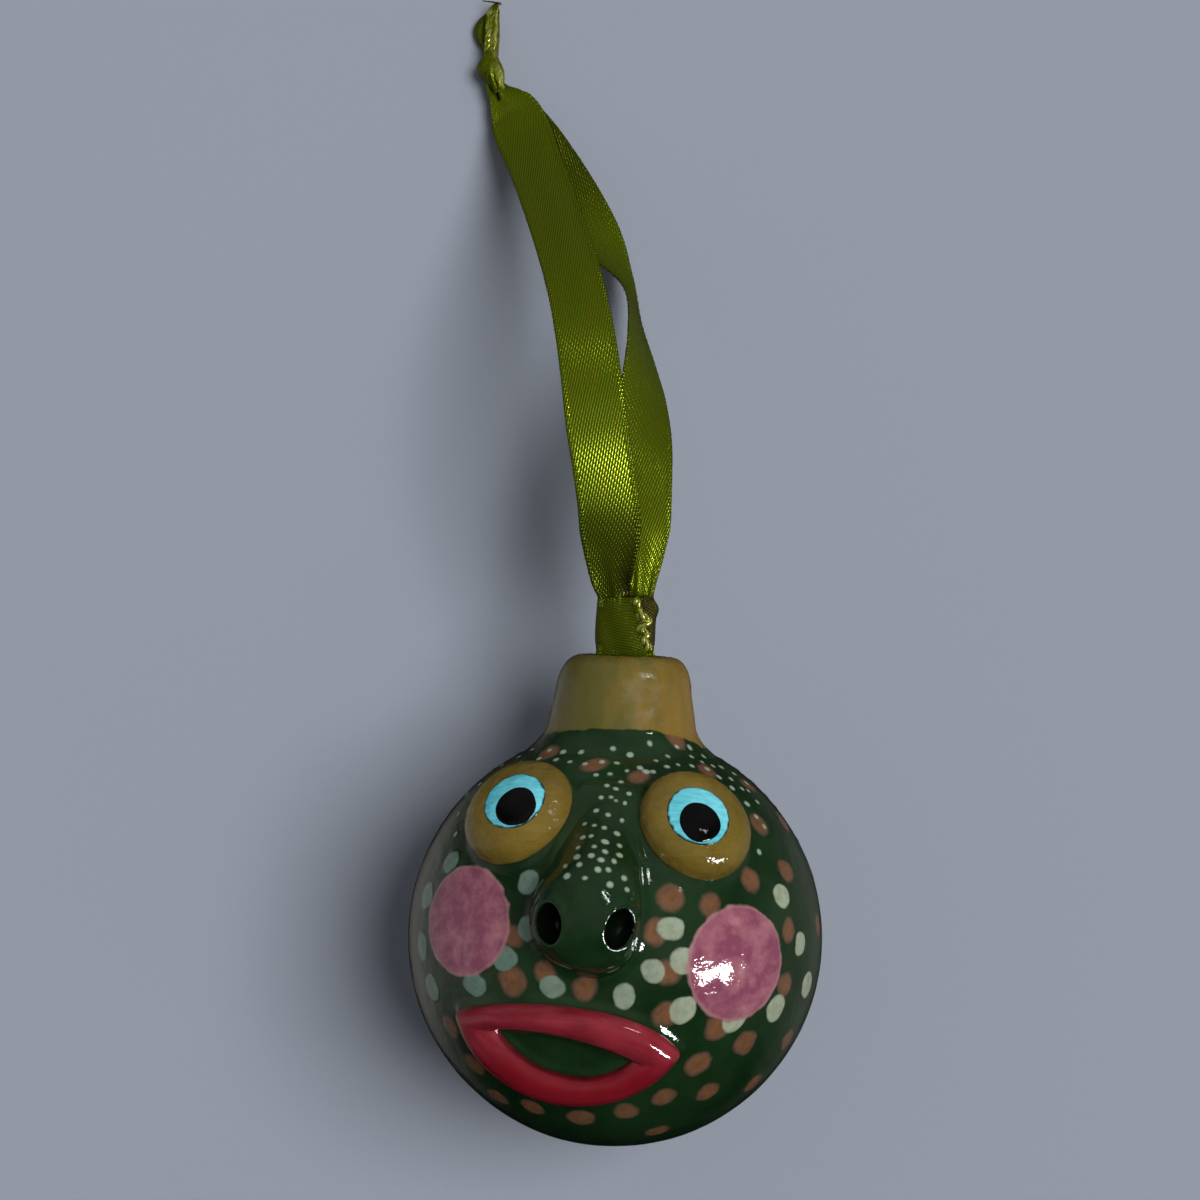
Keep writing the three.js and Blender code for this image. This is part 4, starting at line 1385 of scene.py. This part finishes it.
def make_hitch(material):
    """The band of the hitch: the ribbon's width wrapped round both strands."""
    width = settings("sizes").ribbon_width / MM
    low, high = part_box("ribbon_hitch")
    half_width, half_depth = (high.x - low.x) / 2, (high.z - low.z) / 2
    start = COLLAR_TOP - 0.2 * MM
    crease_places, crease_heights = zip(*reversed(CREASE))
    ring_size, rows = 120, 48
    points, uv, brown = [], [], []
    for j in range(rows + 1):
        share = j / rows
        height = start + (HITCH_TOP - start) * share
        crease_x = np.interp(height, crease_heights, crease_places)
        bulge = bell(share, 0.8, 0.12) * 0.45 - bell(share, 1.0, 0.1) * 0.5
        pinch = 1 - 0.04 * bell(share, 0.1, 0.12)
        for turn, cosine, sine in round_steps(ring_size):
            x = half_width * math.copysign(abs(cosine) ** 0.55, cosine)
            z = half_depth * math.copysign(abs(sine) ** 0.8, sine)
            x += MM * (bulge * max(cosine, 0) ** 2 - 0.15 * math.sin(4 * share) * max(-cosine, 0))
            sag = 0.12 * MM * math.sin(1.3 * x / MM + 5 * share) * max(sine, 0)
            bow = 0.25 * MM * math.sin(2 * turn + 0.4) * (2 * share - 1)
            points.append((x * pinch, height + bow, BALL_CENTRE.z + z * pinch + sag))
            uv.append(((share - 0.5) * width, turn * half_width / MM))
            # Painted shade and a painted brown reflection on the band's front, right of the crease
            brown.append(max(0, min(1, (x - crease_x) / MM / 0.8)) * (z > 0))
    obj = loft("satin_hitch_band", points, ring_size, uv)
    write_attribute(obj, "brown", brown)
    # Painted shade over the whole band
    write_attribute(obj, "tuck_and_shade", np.full(len(points), BAND_SHADE))
    return finish_cloth(obj, material, "ribbon_hitch")


def make_crease(band, material):
    """A crumpled, beaded edge of the ribbon that crosses the front of the hitch."""
    tree = surface_tree(band)
    route = smooth_curve(CREASE, 110)
    steps = np.gradient(route, axis=0)
    steps /= np.linalg.norm(steps, axis=1)[:, None]
    last = len(route) - 1
    points, uv = [], []
    reach = 0
    for i, (place, step) in enumerate(zip(route, steps)):
        if i:
            reach += math.dist(place, route[i - 1])
        top = tree.ray_cast(Vector((*place, 1)), Vector((0, 0, -1)))[0] or Vector((*place, BALL_CENTRE.z))
        swell = 1 + (0.35 * noise.noise(Vector((reach / MM * 1.1, 0, 0))) if 0 < i < last else 0)
        ends = min(1, i / 6, (last - i) / 6) * 0.9 + 0.1
        for wide, high in CREASE_PROFILE:
            x, y = place[0] + step[1] * wide * MM * swell, place[1] - step[0] * wide * MM * swell
            points.append((x, y, top.z + high * MM * swell * ends))
            uv.append((3.6 + 0.5 * wide, reach / MM))
    obj = loft("satin_crease", points, len(CREASE_PROFILE), uv)
    # Painted glints along all of the crease
    write_attribute(obj, "glint", np.ones(len(points)))
    return finish_cloth(obj, material, "ribbon_hitch", smooth=80)


def make_fold(material):
    """The ribbon's fold that runs down into the neck and round the wire."""
    low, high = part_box("hanging_wire")
    wire = Vector((0, (low.y + high.y) / 2, BALL_CENTRE.z))
    radius = (high.y - low.y) / 2 + 0.7 * MM
    reach = COLLAR_TOP + 1.5 * MM - wire.y
    turns = [math.pi * i / 12 for i in range(13)]
    round_wire = [(-radius * math.sin(turn), radius * math.cos(turn)) for turn in turns]
    route = [(reach, radius), *round_wire, (reach, -radius)]
    frames = []
    along = 0
    for i, (y, z) in enumerate(route):
        along += math.dist(route[max(i - 1, 0)], route[i])
        straight = i in (0, len(route) - 1)
        face = Vector((0, 0, math.copysign(1, z))) if straight else Vector((0, y, z)).normalized()
        frames.append((wire + Vector((0, y, z)), Vector((1, 0, 0)), face, 0.92, along))
    return finish_cloth(ribbon_mesh("satin_wire_fold", frames, fold_seed=1.0), material, "ribbon_hitch")


def make_knot(material):
    """The knot: ribbon drawn in and wrapped over itself, tucked in where the strands part."""
    outline = smooth_curve(KNOT_OUTLINE, 70)
    ring_size = 72
    points, uv, glint = [], [], []
    for j, (beyond, left, right) in enumerate(outline):
        share = j / (len(outline) - 1)
        middle, half = (left + right) / 2, (right - left) / 2
        depth = min(half, KNOT_HEIGHT - 0.2 * MM)
        for turn, cosine, sine in round_steps(ring_size):
            wrap = 0.07 * math.sin(3.2 * cosine + 9 * share - 2.2 * sine)
            tuck_and_shade = 0.42 * bell(cosine, 0.05 + 0.5 * (share - 0.2), 0.13) * max(sine, 0) * bell(share, 0, 0.42)
            overlap = 0.14 / (1 + math.exp(-(cosine + 0.2 - 1.1 * (share - 0.5)) / 0.05)) * max(sine, 0)
            size = 1 + wrap - tuck_and_shade + overlap
            points.append((middle + half * cosine * min(size, 1.03), HITCH_TOP + beyond,
                           KNOT_HEIGHT + depth * sine * size))
            uv.append((4.2 * sine, share * 9 + 1.6 * cosine))
            # Painted glints on the right of the knot
            glint.append(0.5 * max(0, min(1, 2 * cosine)))
    obj = loft("satin_knot", points, ring_size, uv)
    write_attribute(obj, "glint", glint)
    return finish_cloth(obj, material, "ribbon_knot", smooth=70)


def make_thread(material):
    """A frayed thread at the tip of the long tail."""
    x, beyond, share, spread, roll = LONG_TAIL[-1]
    tip = Vector((x, HITCH_TOP + beyond, share * BALL_CENTRE.z))
    rings, sides, thickness = 16, 6, 0.0002
    points = []
    for i in range(rings):
        t = i / (rings - 1)
        place = tip + Vector((0.0004 - 0.0034 * t, -0.0002 + 0.0005 * t, 0.0003 * math.sin(4 * t)))
        size = thickness * (1 - 0.6 * t)
        points += [place + Vector((0, cosine, sine)) * size for turn, cosine, sine in round_steps(sides)]
    obj = loft("frayed_thread", points, sides)
    obj.data.uv_layers.new(name="weave")
    write_attribute(obj, "brown", np.ones(len(points)))
    return finish_cloth(obj, material, "ribbon_tail_long", smooth=80)


def make_tail(name, route, seed, glint, material):
    frames = strand_frames(route, TAIL_ROWS)
    obj = ribbon_mesh(f"satin_{name}", frames, seed, folds=1.2, fold_height=0.5, finer=1.45)
    # Painted glints on single floats, by the given share
    write_attribute(obj, "glint", np.full(len(obj.data.vertices), glint))
    return finish_cloth(obj, material, f"ribbon_{name}")


# Stage

def aim(obj, place, target, long_axis=None):
    """Puts a lamp at a place, facing a target, with its own X along a given direction."""
    toward = (Vector(target) - Vector(place)).normalized()
    if long_axis is None:
        rotation = toward.to_track_quat("-Z", "Y").to_matrix()
    else:
        back = -toward
        first = (Vector(long_axis) - back * Vector(long_axis).dot(back)).normalized()
        rotation = Matrix((first, back.cross(first), back)).transposed()
    obj.matrix_world = Matrix.Translation(place) @ rotation.to_4x4()


def new_lamp(name, kind):
    lamp = bpy.data.objects.new(name, bpy.data.lights.new(name, kind))
    bpy.context.scene.collection.objects.link(lamp)
    return lamp


def area_lamp(name, direction, size, radiance, long_axis):
    """A strip of light that shows only as highlights: its size is its distance, its length and its width."""
    distance, length, width = size
    lamp = new_lamp(name, "AREA")
    lamp.data.shape = "RECTANGLE"
    lamp.data.size = length
    lamp.data.size_y = width
    lamp.data.energy = radiance * math.pi * length * width
    target = Vector(STRIP_TARGET)
    aim(lamp, target + Vector(direction).normalized() * distance, target, long_axis)
    lamp.visible_diffuse = False


def soft_key(name, direction, level, angle):
    """A broad overhead light: level is the share of a floor's own colour that it brings out."""
    toward = Vector(direction).normalized()
    lamp = new_lamp(name, "SUN")
    lamp.data.angle = angle
    lamp.data.energy = level * math.pi / toward.z
    aim(lamp, toward, Vector())
    lamp.visible_glossy = False


def studio_room(world, floor_colour):
    """Soft light all round, a room with brighter walls for the gloss, the floor's colour for the camera."""
    world.use_nodes = True
    w = Wiring(world.node_tree)
    toward = w.add("ShaderNodeTexCoord").outputs["Generated"]
    x, y, z = w.split(toward)
    inputs = {0: toward, 1: (-0.35, 0.9, 0.1)}
    side = w.add("ShaderNodeVectorMath", inputs, operation="DOT_PRODUCT").outputs["Value"]
    level = w.times(w.ramp(z, 0.1, 0.9, 0.42, 0.16), w.ramp(side, -0.8, 0.8, 0.15, 1.4))
    room = w.mix(level, (0, 0, 0), (0.94, 0.97, 1.0))
    beside = w.ramp(w.math("ABSOLUTE", w.plus(y, 0.08)), 0.22, 0.55, 1, 0)
    walls = w.times(beside, w.ramp(w.math("ABSOLUTE", x), 0.2, 0.6, 0, 1))
    walls = w.times(walls, w.ramp(x, -0.4, 0.4, 0.3, 0.15))
    walls = w.times(walls, w.ramp(z, 0.15, 0.6, 1, 0.15))
    far_wall = w.times(w.ramp(y, 0.45, 0.8, 0, 0.17), w.ramp(z, -0.6, -0.1, 0.2, 1))
    ceiling = w.times(w.ramp(z, 0.55, 0.92, 0.012, 0.2), w.ramp(y, -0.45, 0.15, 0.15, 1.15))
    mirrored = w.mix(w.plus(w.plus(walls, far_wall), ceiling), (0, 0, 0), (1.0, 0.96, 0.93))
    path = w.add("ShaderNodeLightPath").outputs
    shown = w.mix(path["Is Camera Ray"], w.mix(path["Is Glossy Ray"], room, mirrored), floor_colour)
    w.feed(world.node_tree.nodes["Background"], {"Color": shown, "Strength": 1})


class ORNAMENT_OT_camera(bpy.types.Operator):
    """Hangs the camera above the ornament, as the photograph was taken"""

    bl_idname = "ornament.camera"
    bl_label = "Camera"

    def execute(self, context):
        view = settings("view")
        data = bpy.data.cameras.new("camera")
        data.sensor_width = 36
        data.lens = data.sensor_width * PHOTO_FOCAL / PHOTO_SIDE
        data.clip_start = 0.01
        camera = bpy.data.objects.new("camera", data)
        context.scene.collection.objects.link(camera)
        camera.location = view.camera_place
        camera.rotation_euler = (0, 0, view.camera_roll)
        context.scene.camera = camera
        return {"FINISHED"}


class ORNAMENT_OT_ribbon(bpy.types.Operator):
    """Makes the satin ribbon: hitch, two strands, knot and tails"""

    bl_idname = "ornament.ribbon"
    bl_label = "Ribbon"

    def execute(self, context):
        sizes = settings("sizes")
        cloth = satin()
        front, front_path = make_strand("front_strand", FRONT_STRAND, seed=0.4, material=cloth)
        rear, rear_path = make_strand("rear_strand", REAR_STRAND, seed=2.1, material=cloth)
        band = make_hitch(satin("olive_satin_band", metallic=0.6, dull=0.12))
        crease = make_crease(band, cloth)
        fold = make_fold(cloth)
        knot = make_knot(cloth)
        long_tail = make_tail("tail_long", LONG_TAIL, seed=0.2, glint=0.9, material=cloth)
        short_tail = make_tail("tail_short", SHORT_TAIL, seed=1.4, glint=0.1, material=cloth)
        thread = make_thread(cloth)
        return {"FINISHED"}


class ORNAMENT_OT_clay(bpy.types.Operator):
    """Makes the eyes, nose and lips, then the ball and the neck that carry them"""

    bl_idname = "ornament.clay"
    bl_label = "Clay"

    def execute(self, context):
        sizes = settings("sizes")
        tables = mark_tables()
        green = painted_glaze()
        ochre, blue, black = mound_glaze(), iris_glaze(), pupil_glaze()
        raised = []
        for i, side in enumerate(EYES):
            raised.append(make_mound(side, seed=11 + i, material=ochre))
            make_button("iris", side, sizes.iris_radius, sunk=0.4 * MM, proud=0.3 * MM, seed=21 + i,
                        material=blue, slot="turquoise_glaze")
            make_button("pupil", side, sizes.pupil_radius, sunk=0.3 * MM, proud=0.55 * MM, seed=26 + i,
                        material=black, slot="black_glaze")
        raised += [make_nose(tables, green), make_lips(lip_glaze())]
        make_collar(tables, green)
        trees = [surface_tree(obj) for obj in raised]
        make_ball_half("glazed_ball_front", True, sizes.front_grid, tables, green, pooled_at=trees)
        make_ball_half("glazed_ball_back", False, sizes.back_grid, tables, green, pooled_at=trees[:2])
        return {"FINISHED"}


class ORNAMENT_OT_wire(bpy.types.Operator):
    """Gives the hanging wire its oxidised finish"""

    bl_idname = "ornament.wire"
    bl_label = "Wire"

    def execute(self, context):
        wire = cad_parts["hanging_wire"]
        wire.data.materials.clear()
        wire.data.materials.append(oxidised_wire())
        return {"FINISHED"}


class ORNAMENT_OT_stage(bpy.types.Operator):
    """Lays the floor and hangs the lamps"""

    bl_idname = "ornament.stage"
    bl_label = "Stage"

    def execute(self, context):
        view = settings("view")
        deselect_all()
        bpy.ops.mesh.primitive_plane_add(size=6)
        floor = take_new("floor")
        floor.data.materials.append(paper())
        floor.visible_glossy = False
        context.scene.view_settings.view_transform = "Standard"
        context.scene.world = bpy.data.worlds.new("studio")
        studio_room(context.scene.world, settings("colours").floor)
        soft_key("soft_key", view.key_direction, view.key_level, view.key_angle)
        area_lamp("strip", view.strip_direction, STRIP, view.strip_radiance, view.strip_lean)
        eye_radiance = view.strip_radiance * view.eye_share
        area_lamp("eye_strip", view.eye_direction, EYE_STRIP, eye_radiance, view.eye_lean)
        return {"FINISHED"}


class ORNAMENT_PT_panel(bpy.types.Panel):
    """Lists the ornament's steps and sizes"""

    bl_idname = "ORNAMENT_PT_panel"
    bl_label = "Clay face ornament"
    bl_space_type = "VIEW_3D"
    bl_region_type = "UI"
    bl_category = "Ornament"

    def draw(self, context):
        for operator in STEPS:
            self.layout.operator(operator.bl_idname)
        for group in map(settings, GROUPS):
            box = self.layout.box()
            for name in group.bl_rna.properties.keys():
                if name not in ("rna_type", "name"):
                    box.prop(group, name)


STEPS = [ORNAMENT_OT_camera, ORNAMENT_OT_ribbon, ORNAMENT_OT_clay, ORNAMENT_OT_wire, ORNAMENT_OT_stage]
GROUPS = {"sizes": OrnamentSizes, "colours": OrnamentColours, "view": OrnamentView}


def register():
    for group in GROUPS.values():
        bpy.utils.register_class(group)
    for operator in STEPS:
        bpy.utils.register_class(operator)
    bpy.utils.register_class(ORNAMENT_PT_panel)
    for name, group in GROUPS.items():
        setattr(bpy.types.Scene, f"ornament_{name}", bpy.props.PointerProperty(type=group))


def unregister():
    for name in GROUPS:
        delattr(bpy.types.Scene, f"ornament_{name}")
    bpy.utils.unregister_class(ORNAMENT_PT_panel)
    for operator in reversed(STEPS):
        bpy.utils.unregister_class(operator)
    for group in GROUPS.values():
        bpy.utils.unregister_class(group)


def main():
    register()
    bpy.ops.ornament.camera()
    bpy.ops.ornament.ribbon()
    bpy.ops.ornament.clay()
    bpy.ops.ornament.wire()
    bpy.ops.ornament.stage()


if __name__ == "__main__":
    main()
